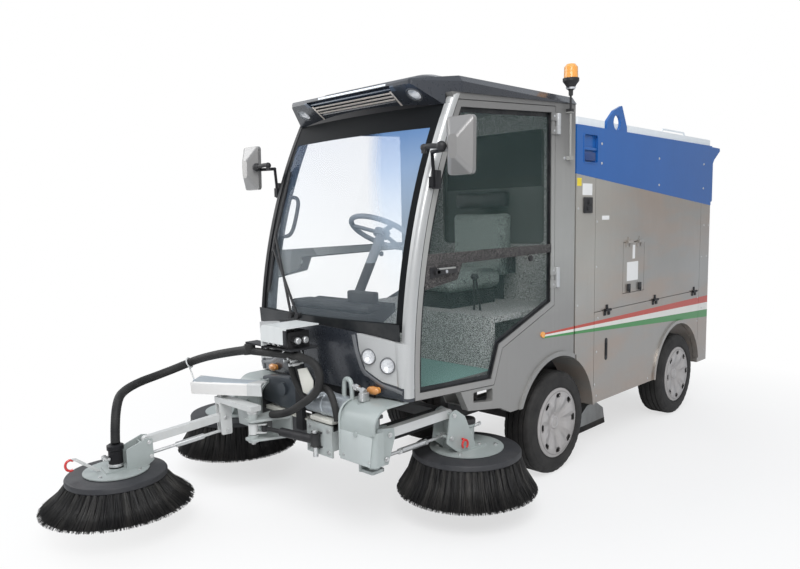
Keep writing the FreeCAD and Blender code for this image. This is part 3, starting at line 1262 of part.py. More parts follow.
def front_head():
    """Front brush head: bracket box, foot, cover plate, motor and spindle."""
    plate_z = FRONT_BLOCK_TOP + 3
    cheek = prism("y", [(388, 336), (392, 446), (424, 450), (520, 410), (520, plate_z + 6), (420, plate_z + 6)],
                  40, 47, 6)
    other = cheek.translated(Vec(0, -87, 0))
    foot = box(420, 620, -52, 52, plate_z + 5, plate_z + 11)
    cover = Part.makeCylinder(FRONT_PLATE_R, 5, Vec(FRONT_BRUSH_REACH, 0, plate_z))
    motor = turned("z", [(plate_z + 11, 0), (plate_z + 11, 34), (408, 34), (414, 40), (434, 40), (440, 30), (440, 0)])
    motor = motor.translated(Vec(FRONT_BRUSH_REACH, 0, 0))
    spindle = rod(Vec(FRONT_BRUSH_REACH, 0, FRONT_BLOCK_TOP - 24), Vec(FRONT_BRUSH_REACH, 0, plate_z + 1), 14)
    web = box(440, 448, -47, 47, plate_z + 9, 430)
    return front_place(joined(cheek, other, foot, cover, motor, spindle, web,
                              *cross_pins([FRONT_ARM_B, FRONT_ROD_B], 49, 8)))


def front_brush():
    """The front brush, more flared than the side ones."""
    return front_place(brush(FRONT_BLOCK_R, FRONT_BLOCK_TOP, FRONT_TIP_Z, 52, Vec(FRONT_BRUSH_REACH, 0, 0)))


CYLINDER_EYE = Vec(-196, BOOM_Y + 42, 468)     # rod eye of the swing cylinder
HOOD_X = (-85.0, 115.0)                        # hood over the valves
HOOD_Y = (-1600.0, BEAM_Y - BEAM_HALF)
HOOD_LOW = 905.0
HOOD_TOP = 1022.0


def swing_cylinder():
    """Hydraulic cylinder between the front beam and the boom's pin."""
    a = Vec(150, BEAM_Y - 105, CYLINDER_EYE.z)
    b = CYLINDER_EYE
    direction = (b - a).normalize()
    barrel = rod(a + direction * 12, a + direction * 230, 22)
    shaft = rod(a + direction * 200, b - direction * 10, 11)
    head = rod(a + Vec(0, 0, -34), a + Vec(0, 0, 34), 18)
    clevis = box(a.x - 30, a.x + 30, a.y, BEAM_Y - 85, 430, 436)
    other = clevis.translated(Vec(0, 0, 70))
    eye = rod(b + Vec(0, 0, -13), b + Vec(0, 0, 13), 16)
    return joined(barrel, shaft, head, clevis, other, eye)


def valve_hood():
    """Sheet hood over the valves, open to its left, on a post from the front beam."""
    x0, x1 = HOOD_X
    y0, y1 = HOOD_Y
    top = HOOD_TOP
    post = box(-58, -8, BEAM_Y - 60, BEAM_Y - BEAM_HALF, 470, HOOD_LOW)
    wire = wire_of(
        Vec(x1, 0, top),
        Vec(x0 + 24, 0, top),
        (Vec(x0 + 7, 0, top - 7), Vec(x0, 0, top - 24)),
        Vec(x0, 0, HOOD_LOW),
        Vec(x0 + 6, 0, HOOD_LOW),
        Vec(x0 + 6, 0, top - 24),
        (Vec(x0 + 11, 0, top - 11), Vec(x0 + 24, 0, top - 6)),
        Vec(x1, 0, top - 6),
    )
    sheet = slab(wire, "y", y0, y1)
    front = prism("y", [(x0 + 2, HOOD_LOW + 36), (x0 + 2, top - 20), (x0 + 20, top - 3), (x1, top - 3),
                        (x1, HOOD_LOW + 36)], y0, y0 + 6)
    shelf = box(x0, x1, y0 + 30, y1, HOOD_LOW, HOOD_LOW + 8)
    tongue = box(BOOM_X - 32, x0 + 6, y0 + 30, y0 + 100, HOOD_LOW, HOOD_LOW + 8)
    return joined(post, sheet, front, shelf, tongue)


def valve_block():
    """Hydraulic valve block under the hood: a body, two caps and three outlets."""
    x0, x1 = HOOD_X
    low = HOOD_LOW + 8
    body = box(x0 + 14, x1 - 40, HOOD_Y[0] + 44, HOOD_Y[1] - 30, low, low + 78)
    parts = [body]
    for y in (HOOD_Y[0] + 74, HOOD_Y[0] + 118):
        parts.append(rod(Vec(x1 - 41, y, low + 40), Vec(x1 - 8, y, low + 40), 17))
    for x in (x0 + 40, x0 + 80, x0 + 120):
        parts.append(rod(Vec(x, HOOD_Y[0] + 45, low + 26), Vec(x, HOOD_Y[0] + 20, low + 26), 11))
    return joined(*parts)


# ------------------------------------------------------------------ under the body
def engine_block():
    """The engine, as one plain block at its place and size."""
    return box(-RAIL_IN, RAIL_IN, 300, 860, RAIL_TOP - 10, 900)


def suction_mouth():
    """Suction mouth between the axles, with its duct up to the deck."""
    mouth = prism("x", [(640, 34), (1010, 34), (980, 150), (880, 210), (760, 210), (660, 150)], -350, 350)
    cavity = prism("x", [(660, 30), (990, 30), (962, 140), (870, 198), (770, 198), (680, 140)], -338, 338)
    duct = rod(Vec(0, 850, 140), Vec(0, 1080, 640), 92).cut(box(-350, 350, 600, 1200, 0, 199))
    riser = rod(Vec(0, 1080, 640), Vec(0, 1080, deck_z(1080)), 92)
    above = prism("x", [(900, deck_z(900) - DECK_T - SEAT), (1300, deck_z(1300) - DECK_T - SEAT),
                        (1300, DECK_FRONT_Z), (900, DECK_FRONT_Z)], -200, 200)
    knee = Part.makeSphere(92, Vec(0, 1080, 640))
    blind = rod(Vec(0, 850, 140), Vec(0, 1000, 466), 80)
    return joined(mouth, duct, riser, knee).cut([cavity, blind, above])


# ------------------------------------------------------------------ write the parts
def main():
    """Build every sub-part and write it."""
    os.makedirs("parts", exist_ok=True)
    rail = chassis_rail()
    save("chassis_frame", rail, mirrored(rail), front_beam(), rear_member(), *cross_members())
    save("axles", front_axle(), rear_axle())
    left_knuckle = knuckle()
    save("knuckle_left", left_knuckle)
    save("knuckle_right", mirrored(left_knuckle))
    left_tyre, left_wheel = tyre(), wheel()
    for end, y in (("front", 0.0), ("rear", WHEELBASE)):
        place = Vec(WHEEL_X, y, AXLE_Z)
        save("tyre_%s_left" % end, left_tyre.translated(place))
        save("tyre_%s_right" % end, mirrored(left_tyre.translated(place)))
        save("wheel_%s_left" % end, left_wheel.translated(place))
        save("wheel_%s_right" % end, mirrored(left_wheel.translated(place)))
    save("engine_block", engine_block())
    save("suction_mouth", suction_mouth())

    side = cab_side()
    save("cab_shell", side, mirrored(side), *cab_inner())
    save("front_frame", front_frame())
    save("nose_panel", nose_panel())
    save("cab_glass", windscreen(), rear_window())
    save("cab_roof", cab_roof())
    save("lamps", lamps())
    save("marker_lamps", marker_lamps())
    save("beacon_pole", beacon_pole())
    save("cab_console", cab_console(), steering_wheel())
    save("seat", *seat())
    save("mirrors", both_sides(mirror_left()))
    save("wiper", wiper())
    for name, pieces in (("frame", (door_frame(), door_rail())), ("glass", (door_glass(),))):
        save("door_%s_left" % name, *pieces)
        save("door_%s_right" % name, *[mirrored(piece) for piece in pieces])

    save("body_shell", joined(body_shell(), *[p for b in hopper_hinges() for p in (b, mirrored(b))]))
    save("upper_panels", upper_panel(True), mirrored(upper_panel(False)))
    save("service_hatch", hatch())
    save("skirt_left", skirt())
    save("skirt_right", mirrored(skirt()))
    save("hopper", hopper())
    save("hopper_cover", hopper_cover())
    save("tailgate", tailgate())

    save("brush_guards", both_sides(brush_guard()))
    pieces = (("bracket", side_bracket()), ("arm", side_arm()), ("rod", side_rod()),
              ("head", side_head()), ("brush", side_brush()))
    for name, piece in pieces:
        save("side_%s_left" % name, placed(piece, LEFT_SWING, SWING_X, SWING_Y))
        save("side_%s_right" % name, mirrored(placed(piece, RIGHT_SWING, SWING_X, SWING_Y)))
    save("front_boom", front_boom())
    save("front_arm", front_arm())
    save("front_rod", front_rod())
    save("front_head", front_head())
    save("brush_hose", brush_hose())
    save("hose_elbow", hose_elbow())
    save("front_brush", front_brush())
    save("swing_cylinder", swing_cylinder())
    save("valve_hood", valve_hood())
    save("valve_block", valve_block())


main()
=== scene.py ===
"""Finishes, trim, soft parts and camera for a compact street sweeper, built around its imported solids."""

import json
import logging
import random
from dataclasses import dataclass
from enum import Enum
from math import atan2, cos, hypot, pi, radians, sin, sqrt
from typing import Iterable, Optional, Sequence

import bmesh
import bpy
from mathutils import Matrix, Vector


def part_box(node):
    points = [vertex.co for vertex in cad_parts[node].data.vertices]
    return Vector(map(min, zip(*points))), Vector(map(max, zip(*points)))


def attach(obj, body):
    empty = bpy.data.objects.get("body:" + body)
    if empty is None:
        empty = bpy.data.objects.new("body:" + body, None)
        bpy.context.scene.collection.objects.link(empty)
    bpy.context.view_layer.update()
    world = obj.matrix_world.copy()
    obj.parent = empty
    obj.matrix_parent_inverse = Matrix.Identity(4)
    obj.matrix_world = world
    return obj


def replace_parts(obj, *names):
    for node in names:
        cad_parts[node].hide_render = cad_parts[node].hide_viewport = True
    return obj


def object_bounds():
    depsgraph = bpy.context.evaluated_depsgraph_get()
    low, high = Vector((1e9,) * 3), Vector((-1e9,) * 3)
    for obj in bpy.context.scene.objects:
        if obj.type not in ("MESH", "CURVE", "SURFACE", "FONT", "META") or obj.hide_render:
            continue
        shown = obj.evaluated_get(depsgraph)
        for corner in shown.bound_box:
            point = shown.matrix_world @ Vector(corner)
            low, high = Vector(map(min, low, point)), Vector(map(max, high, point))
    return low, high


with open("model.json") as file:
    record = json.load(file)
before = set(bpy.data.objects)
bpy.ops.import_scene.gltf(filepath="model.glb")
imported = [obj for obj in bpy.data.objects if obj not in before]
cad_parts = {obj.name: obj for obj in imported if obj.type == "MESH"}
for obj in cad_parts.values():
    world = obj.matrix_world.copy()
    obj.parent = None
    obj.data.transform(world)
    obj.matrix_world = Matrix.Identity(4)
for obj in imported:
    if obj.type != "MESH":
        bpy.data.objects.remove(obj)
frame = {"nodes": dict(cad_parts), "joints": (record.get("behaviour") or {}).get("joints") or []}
CAD_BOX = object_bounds()
log = logging.getLogger("sweeper")

Colour = tuple[float, float, float]
Point = Sequence[float]
Socket = bpy.types.NodeSocket
Node = bpy.types.Node
Tree = bpy.types.NodeTree
Material = bpy.types.Material
Object = bpy.types.Object
UP = (0.0, 0.0, 1.0)
SIDES = (-1.0, 1.0)
FLANK = 0.585  # half of the body's width, in metres


def joint_place(name: str) -> Vector:
    """The pin of a joint, as a point of the frame in metres."""
    joint = next(j for j in frame["joints"] if j["name"] == name)
    return Vector(joint["pos_m"])


# The machine's own zero: middle of the front axle, on the floor.
ZERO = (joint_place("steer_left") + joint_place("steer_right")) / 2
ZERO.z = 0.0


def link(thing: Object) -> None:
    """Put an object in the scene."""
    bpy.context.scene.collection.objects.link(thing)


def at(x: float, y: float, z: float) -> Vector:
    """A point given from the machine's own zero, in metres."""
    return ZERO + Vector((x, y, z))


# ---- shader building blocks
class Effect(Enum):
    """Shared surface effects, each one node group."""

    WEAR = "road_wear"
    GRAIN = "moulded_grain"
    SPECKLE = "speckled_felt"
    SPANGLE = "zinc_spangle"


class Nodes:
    """A thin helper that places and links shader nodes in one tree."""

    def __init__(self, tree: Tree) -> None:
        """Start on the node tree to fill."""
        self.tree = tree
        self.count = 0

    def add(self, kind: str, inputs: Optional[dict] = None, **settings) -> Node:
        """Add a node.

        Args:
            kind: the node's type name.
            inputs: socket name or index to a value or to another node's output.
            settings: the node's own properties.

        Returns:
            The new node.
        """
        node = self.tree.nodes.new(kind)
        node.location = (self.count % 8 * 200, -(self.count // 8) * 260)
        self.count += 1
        for key, value in settings.items():
            setattr(node, key, value)
        for key, value in (inputs or {}).items():
            self.put(node, key, value)
        return node

    def put(self, node: Node, key: object, value: object) -> None:
        """Link an output to a socket, or set its value.

        Args:
            node: the node that has the socket.
            key: the socket's name or index.
            value: an output socket, a node, or a plain value.
        """
        socket = node.inputs[key]
        if isinstance(value, Socket):
            self.tree.links.new(value, socket)
        elif isinstance(value, Node):
            self.tree.links.new(value.outputs[0], socket)
        elif socket.type == "RGBA" and len(value) == 3:
            socket.default_value = (*value, 1.0)
        else:
            socket.default_value = value

    def math(self, operation: str, a: object, b: object = 0.0, clamp: bool = False) -> Socket:
        """A Math node's result."""
        node = self.add("ShaderNodeMath", {0: a, 1: b}, operation=operation, use_clamp=clamp)
        return node.outputs[0]

    def mix(self, factor: object, a: object, b: object, blend: str = "MIX") -> Socket:
        """A colour mix's result."""
        node = self.add("ShaderNodeMix", data_type="RGBA", blend_type=blend)
        for index, value in ((0, factor), (6, a), (7, b)):
            self.put(node, index, value)
        return node.outputs[2]

    def noise(self, vector: object, scale: float, detail: float = 3.0, rough: float = 0.5) -> Socket:
        """A noise texture's factor."""
        inputs = {"Vector": vector, "Scale": scale, "Detail": detail, "Roughness": rough}
        return self.add("ShaderNodeTexNoise", inputs).outputs["Fac"]

    def ramp(self, factor: object, low: float, high: float) -> Socket:
        """A factor stretched so that low is 0 and high is 1."""
        node = self.add("ShaderNodeMapRange", {"Value": factor, "From Min": low, "From Max": high},
            clamp=True)
        return node.outputs[0]

    def place(self) -> Socket:
        """The point in the object's own coordinates."""
        return self.add("ShaderNodeTexCoord").outputs["Object"]

    def axes(self, vector: object = None) -> list[Socket]:
        """X, Y and Z of a vector, or of the point in the object's own coordinates."""
        node = self.add("ShaderNodeSeparateXYZ", {0: self.place() if vector is None else vector})
        return list(node.outputs)

    def effect(self, effect: Effect, inputs: dict[str, object]) -> Node:
        """Place a shared effect's group with its own values."""
        node = self.add("ShaderNodeGroup", node_tree=EFFECTS.tree(effect))
        self.fill(node, inputs)
        return node

    def fill(self, node: Node, inputs: dict[str, object]) -> None:
        """Put several values or outputs on a node's sockets."""
        for key, value in inputs.items():
            self.put(node, key, value)

    def times(self, a: object, *others: object, clamp: bool = False) -> Socket:
        """A product."""
        for b in others[:-1]:
            a = self.math("MULTIPLY", a, b)
        return self.math("MULTIPLY", a, others[-1], clamp)

    def plus(self, a: object, b: object, clamp: bool = False) -> Socket:
        """A sum."""
        return self.math("ADD", a, b, clamp)

    def less(self, a: object, b: object) -> Socket:
        """A difference."""
        return self.math("SUBTRACT", a, b)

    def above(self, a: object, b: object) -> Socket:
        """1 where a is the greater, else 0."""
        return self.math("GREATER_THAN", a, b)

    def below(self, a: object, b: object) -> Socket:
        """1 where a is the smaller, else 0."""
        return self.math("LESS_THAN", a, b)

    def length(self, a: object, b: object) -> Socket:
        """The length of two sides of a right angle taken together."""
        return self.math("SQRT", self.plus(self.times(a, a), self.times(b, b)))

    def stretched(self, vector: object, scale: Sequence[float]) -> Socket:
        """A vector scaled on each axis."""
        return self.add("ShaderNodeMapping", {"Vector": vector, "Scale": scale}).outputs[0]


def new_group(name: str, inputs: dict[str, object], *outputs: str) -> tuple[Tree, Nodes]:
    """Start a shader node group.

    Args:
        name: the group's name.
        inputs: socket name to default value; a number makes a float and three numbers a colour.
        outputs: names of the outputs; "Colour" is a colour and the others are numbers.

    Returns:
        The group's tree, and a helper on it.
    """
    tree = bpy.data.node_groups.new(name, "ShaderNodeTree")
    for key, value in inputs.items():
        colour = isinstance(value, tuple)
        kind = "NodeSocketColor" if colour else "NodeSocketFloat"
        tree.interface.new_socket(key, in_out="INPUT", socket_type=kind).default_value = (
            (*value, 1.0) if colour else value)
    for key in outputs:
        kind = "NodeSocketColor" if key == "Colour" else "NodeSocketFloat"
        tree.interface.new_socket(key, in_out="OUTPUT", socket_type=kind)
    return tree, Nodes(tree)


class Effects:
    """Builds each shared effect once and hands it out."""

    def __init__(self) -> None:
        """Start with no group built."""
        self.made: dict[Effect, Tree] = {}

    def tree(self, effect: Effect) -> Tree:
        """The group of an effect, built on first use."""
        if effect not in self.made:
            self.made[effect] = getattr(self, "_" + effect.value)()
        return self.made[effect]

    def _road_wear(self) -> Tree:
        """Dust and streaks: darkens a colour low down and in patches, and roughens it."""
        tree, n = new_group("road_wear", {"Colour": (0.5, 0.5, 0.5), "Dirt": (0.1, 0.09, 0.08),
            "Amount": 0.3, "Roughness": 0.4}, "Colour", "Roughness", "Height")
        given = n.add("NodeGroupInput").outputs
        place = n.place()
        cloud = n.noise(place, 3.1, 5.0, 0.6)
        fine = n.noise(place, 60.0, 3.0, 0.6)
        streak = n.noise(n.stretched(place, (14.0, 14.0, 1.1)), 2.0, 4.0, 0.6)
        height = n.axes(place)[2]
        low = n.ramp(height, 1.0, 0.2)
        patch = n.times(n.ramp(cloud, 0.42, 0.75), n.ramp(streak, 0.4, 0.8))
        share = n.plus(n.times(patch, 0.8), n.times(low, n.ramp(cloud, 0.3, 0.8)))
        amount = n.times(share, given["Amount"], clamp=True)
        tone = n.mix(n.times(n.ramp(cloud, 0.3, 0.7), 0.1), given["Colour"], (1.0, 1.0, 1.0), "OVERLAY")
        colour = n.mix(amount, tone, given["Dirt"])
        rough = n.plus(given["Roughness"], n.times(amount, 0.35))
        rough = n.plus(rough, n.times(n.less(fine, 0.5), 0.08), clamp=True)
        n.add("NodeGroupOutput", {"Colour": colour, "Roughness": rough, "Height": fine})
        return tree

    def _moulded_grain(self) -> Tree:
        """Leathery grain of moulded plastic and rubber, as a height and a small change of tone."""
        tree, n = new_group("moulded_grain", {"Colour": (0.1, 0.1, 0.1), "Scale": 900.0}, "Colour", "Height")
        given = n.add("NodeGroupInput").outputs
        place = n.place()
        cells = n.add("ShaderNodeTexVoronoi", {"Vector": place, "Scale": given["Scale"]}).outputs["Distance"]
        cloud = n.noise(place, 9.0, 4.0, 0.6)
        dusty = n.mix(0.06, given["Colour"], (0.42, 0.4, 0.37))
        colour = n.mix(n.ramp(cloud, 0.35, 0.8), given["Colour"], dusty)
        n.add("NodeGroupOutput", {"Colour": colour, "Height": cells})
        return tree

    def _speckled_felt(self) -> Tree:
        """Felt lining speckled light on dark."""
        tree, n = new_group("speckled_felt", {"Dark": (0.05, 0.05, 0.05), "Light": (0.55, 0.56, 0.54),
            "Scale": 150.0, "Share": 0.5}, "Colour", "Height")
        given = n.add("NodeGroupInput").outputs
        place = n.place()
        spots = n.add("ShaderNodeTexNoise", {"Vector": place, "Scale": given["Scale"], "Detail": 2.0})
        low = n.less(given["Share"], 0.07)
        high = n.plus(given["Share"], 0.07)
        mask = n.add("ShaderNodeMapRange", {"Value": spots.outputs["Fac"], "From Min": low, "From Max": high})
        colour = n.mix(mask.outputs[0], given["Dark"], given["Light"])
        n.add("NodeGroupOutput", {"Colour": colour, "Height": spots.outputs["Fac"]})
        return tree

    def _zinc_spangle(self) -> Tree:
        """Crystal patches of galvanised sheet."""
        tree, n = new_group("zinc_spangle", {"Colour": (0.6, 0.62, 0.62), "Scale": 60.0}, "Colour",
            "Roughness")
        given = n.add("NodeGroupInput").outputs
        cells = n.add("ShaderNodeTexVoronoi", {"Vector": n.place(), "Scale": given["Scale"]})
        tone = n.add("ShaderNodeSeparateColor", {0: cells.outputs["Color"]}).outputs[0]
        colour = n.mix(n.times(tone, 0.35), given["Colour"], (0.3, 0.33, 0.35))
        rough = n.add("ShaderNodeMapRange", {"Value": tone, "To Min": 0.28, "To Max": 0.5}).outputs[0]
        n.add("NodeGroupOutput", {"Colour": colour, "Roughness": rough})
        return tree


EFFECTS = Effects()


def blank_material(name: str) -> tuple[Material, Nodes, Node]:
    """A new material with one Principled shader.

    Args:
        name: the material's name.

    Returns:
        The material, a helper on its tree, and the Principled node.
    """
    material = bpy.data.materials.new(name)
    material.use_nodes = True
    material.node_tree.nodes.clear()
    n = Nodes(material.node_tree)
    shader = n.add("ShaderNodeBsdfPrincipled")
    n.add("ShaderNodeOutputMaterial", {"Surface": shader})
    return material, n, shader


def add_bump(n: Nodes, shader: Node, height: object, strength: float, distance: float) -> None:
    """Feed a height into the shader's normal, with the bump's strength and its depth in metres."""
    bump = n.add("ShaderNodeBump", {"Height": height, "Strength": strength, "Distance": distance})
    n.put(shader, "Normal", bump.outputs[0])


@dataclass(frozen=True)
class Finish:
    """A finish, which becomes one material."""

    name: str

    def build(self) -> Material:
        """The material."""
        material, n, shader = blank_material(self.name)
        self.shade(n, shader)
        return material

    def shade(self, n: Nodes, shader: Node) -> None:
        """Feed the shader, with the material's helper."""
        raise NotImplementedError


@dataclass(frozen=True)
class Patch:
    """A box-shaped region, from the machine's zero, that takes another colour."""

    low: tuple[float, float, float]
    high: tuple[float, float, float]
    colour: Colour
    slope: float = 0.0
    cover: float = 1.0

    def mask(self, n: Nodes) -> Socket:
        """1 inside the region and 0 outside; its level faces climb along X by the slope."""
        axes = n.axes()
        inside = None
        for i, place in enumerate(axes):
            if i == 2 and self.slope:
                climb = n.times(n.less(axes[0], ZERO.x), self.slope)
                place = n.less(place, climb)
            above = n.above(place, self.low[i] + ZERO[i])
            below = n.below(place, self.high[i] + ZERO[i])
            both = n.times(above, below)
            inside = both if inside is None else n.times(inside, both)
        return inside


@dataclass(frozen=True)
class Striping:
    """The band that runs back from the side marker, widening, in three colours."""

    colours: tuple[Colour, ...] = ((0.58, 0.085, 0.06), (0.9, 0.88, 0.82), (0.07, 0.3, 0.09))
    front_y: float = -0.144
    rear_y: float = 2.245
    front_z: tuple[float, ...] = (0.86, 0.85, 0.84, 0.83)
    rear_z: tuple[float, ...] = (0.86, 0.805, 0.746, 0.686)
    start_y: float = -0.17
    side_x: float = 0.578

    def edge(self, n: Nodes, y: object, index: int) -> Socket:
        """Height of one edge of the band at y."""
        rise = (self.rear_z[index] - self.front_z[index]) / (self.rear_y - self.front_y)
        start = self.front_z[index] - rise * (self.front_y + ZERO.y)
        return n.plus(n.times(y, rise), start)

    def paint(self, n: Nodes, base: object) -> Socket:
        """The base colour with the band over it.

        Args:
            n: the material's helper.
            base: the colour under the band.

        Returns:
            The colour output.
        """
        axes = n.axes()
        y, z = axes[1], axes[2]
        out = n.math("ABSOLUTE", n.less(axes[0], ZERO.x))
        on_side = n.times(n.above(out, self.side_x), n.above(y, self.start_y + ZERO.y))
        colour = base
        for index, paint in enumerate(self.colours):
            under = n.below(z, self.edge(n, y, index))
            over = n.above(z, self.edge(n, y, index + 1))
            mask = n.times(n.times(under, over), on_side)
            colour = n.mix(mask, colour, paint)
        return colour


def painted_sheet_reflections(n: Nodes, base: object, amount: float) -> Socket:
    """Painted reflections on bright sheet: long soft bands of warm and cool tone, lighter ahead and high up,
    warmer low down.

    Args:
        n: the material's helper.
        base: the colour under the bands.
        amount: how strong they are.

    Returns:
        The colour output.
    """
    place = n.place()
    height = n.axes(place)[2]
    drift = n.noise(n.stretched(place, (1.0, 0.9, 3.6)), 1.3, 4.0, 0.62)
    broad = n.noise(n.stretched(place, (1.0, 0.5, 1.4)), 0.9, 2.0, 0.5)
    warm = n.times(n.ramp(drift, 0.42, 0.6), min(1.0, amount * 1.5))
    low = n.times(n.ramp(height, 0.75, 0.35), amount)
    along = n.axes(place)[1]
    ahead = n.times(n.times(n.ramp(along, 1.05, 0.45), n.ramp(height, 0.8, 1.2)), 0.75)
    tone = n.mix(warm, base, (0.42, 0.335, 0.275))
    tone = n.mix(n.times(n.ramp(broad, 0.46, 0.66), amount), tone, (0.43, 0.43, 0.42))
    tone = n.mix(ahead, tone, (0.5, 0.485, 0.44))
    return n.mix(low, tone, (0.37, 0.315, 0.275))


def lobed(n: Nodes, base: object, count: int) -> tuple[Socket, Socket]:
    """A pressed wheel cover: spokes in relief between openings near the rim, with painted highlight on the
    raised spokes, a painted darker ring at the rim and the openings painted near-black as painted shade.

    Args:
        n: the material's helper.
        base: the colour.
        count: how many spokes.

    Returns:
        The colour and the height outputs.
    """
    axes = n.axes()
    front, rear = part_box("tyre_front_left"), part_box("tyre_rear_left")
    middles = [(low[1] + high[1]) / 2 for low, high in (front, rear)]
    ahead = n.below(axes[1], sum(middles) / 2)
    middle = n.plus(middles[1], n.times(ahead, middles[0] - middles[1]))
    along = n.less(axes[1], middle)
    up = n.less(axes[2], (front[0][2] + front[1][2]) / 2)
    radius = n.length(along, up)
    wave = n.math("COSINE", n.times(n.math("ARCTAN2", up, along), float(count)))
    ring = n.times(n.ramp(radius, 0.149, 0.152), n.ramp(radius, 0.179, 0.176))
    hole = n.times(ring, n.ramp(wave, 0.62, 0.74))
    body = n.times(n.ramp(radius, 0.06, 0.11), n.ramp(radius, 0.185, 0.15))
    swell = n.times(n.ramp(wave, 0.85, -0.45), body)
    # Painted highlight on the spokes, then painted shade in the rim's ring and in the openings.
    tone = n.mix(n.times(swell, 0.3), base, (0.62, 0.6, 0.59))
    rim = n.times(n.ramp(radius, 0.183, 0.186), n.ramp(radius, 0.192, 0.189))
    tone = n.mix(n.times(rim, 0.5), tone, (0.12, 0.115, 0.11))
    tone = n.mix(hole, tone, (0.012, 0.012, 0.012))
    return tone, n.less(swell, n.times(hole, 0.8))


def painted_height_shading(n: Nodes, base: object, amount: float) -> Socket:
    """Painted reflection and painted shade on upright sheet: brighter at waist height and darker under the
    roof.

    Args:
        n: the material's helper.
        base: the colour.
        amount: how strong the change is.

    Returns:
        The colour output.
    """
    height = n.axes()[2]
    band = n.times(n.ramp(height, 0.95, 1.3), n.ramp(height, 1.95, 1.45))
    tone = n.mix(n.times(band, amount), base, (0.5, 0.51, 0.485))
    return n.mix(n.times(n.ramp(height, 1.8, 2.12), amount), tone, (0.06, 0.06, 0.06))


@dataclass(frozen=True)
class Paint(Finish):
    """Sprayed paint, plain or metallic, with dust low down."""

    colour: Colour
    metallic: float = 0.0
    roughness: float = 0.35
    coat: float = 0.3
    grime: float = 0.25
    flake: float = 0.0
    striping: Optional[Striping] = None
    patches: tuple = ()
    dirt: Colour = (0.12, 0.105, 0.09)
    painted_sheen: float = 0.0
    lobes: int = 0

    def shade(self, n: Nodes, shader: Node) -> None:
        """Feed the shader."""
        base: object = self.colour
        if self.flake:
            sparkle = n.add("ShaderNodeTexVoronoi", {"Vector": n.place(), "Scale": 1400.0})
            tone = n.add("ShaderNodeSeparateColor", {0: sparkle.outputs["Color"]}).outputs[0]
            brighter = tuple(min(1.0, c * (1 + self.flake)) for c in self.colour)
            base = n.mix(tone, tuple(c * (1 - self.flake / 2) for c in self.colour), brighter)
        # The sheen value paints light into the colour: above zero, painted reflections; below zero, painted
        # reflection and painted shade by height.
        if self.painted_sheen > 0:
            base = painted_sheet_reflections(n, base, self.painted_sheen)
        elif self.painted_sheen < 0:
            base = painted_height_shading(n, base, -self.painted_sheen)
        if self.striping:
            base = self.striping.paint(n, base)
        relief: object = None
        if self.lobes:
            base, relief = lobed(n, base, self.lobes)
        gloss: object = 1.0
        for patch in self.patches:
            mask = patch.mask(n)
            base = n.mix(mask, base, patch.colour)
            if max(patch.colour) < 0.05:
                gloss = n.times(gloss, n.less(1.0, mask))
        wear = n.effect(Effect.WEAR, {"Colour": base, "Dirt": self.dirt, "Amount": self.grime,
            "Roughness": self.roughness}).outputs
        n.fill(shader, {"Base Color": wear["Colour"], "Roughness": wear["Roughness"], "Coat Roughness": 0.12,
            "Metallic": self.metallic, "Coat Weight": self.coat})
        if gloss != 1.0:
            n.fill(shader, {"Metallic": n.times(gloss, self.metallic),
                "Coat Weight": n.times(gloss, self.coat), "Specular IOR Level": n.plus(
                n.times(gloss, 0.34), 0.16)})
        if relief is None:
            add_bump(n, shader, wear["Height"], 0.05, 0.0006)
        else:
            add_bump(n, shader, relief, 0.9, 0.012)


@dataclass(frozen=True)
class Moulded(Finish):
    """Moulded plastic or rubber with a fine grain."""

    colour: Colour
    roughness: float = 0.55
    scale: float = 900.0
    depth: float = 0.25
    patches: tuple = ()

    def shade(self, n: Nodes, shader: Node) -> None:
        """Feed the shader."""
        base: object = self.colour
        for patch in self.patches:
            base = n.mix(patch.mask(n), base, patch.colour)
        grain = n.effect(Effect.GRAIN, {"Colour": base, "Scale": self.scale}).outputs
        n.fill(shader, {"Base Color": grain["Colour"], "Roughness": self.roughness,
            "Specular IOR Level": 0.28})
        add_bump(n, shader, grain["Height"], self.depth, 0.0004)


@dataclass(frozen=True)
class Zinc(Finish):
    """Galvanised or plated steel."""

    colour: Colour = (0.6, 0.62, 0.62)
    scale: float = 60.0
    metallic: float = 0.75

    def shade(self, n: Nodes, shader: Node) -> None:
        """Feed the shader."""
        spangle = n.effect(Effect.SPANGLE, {"Colour": self.colour, "Scale": self.scale}).outputs
        n.fill(shader, {"Base Color": spangle["Colour"], "Roughness": spangle["Roughness"],
            "Metallic": self.metallic})


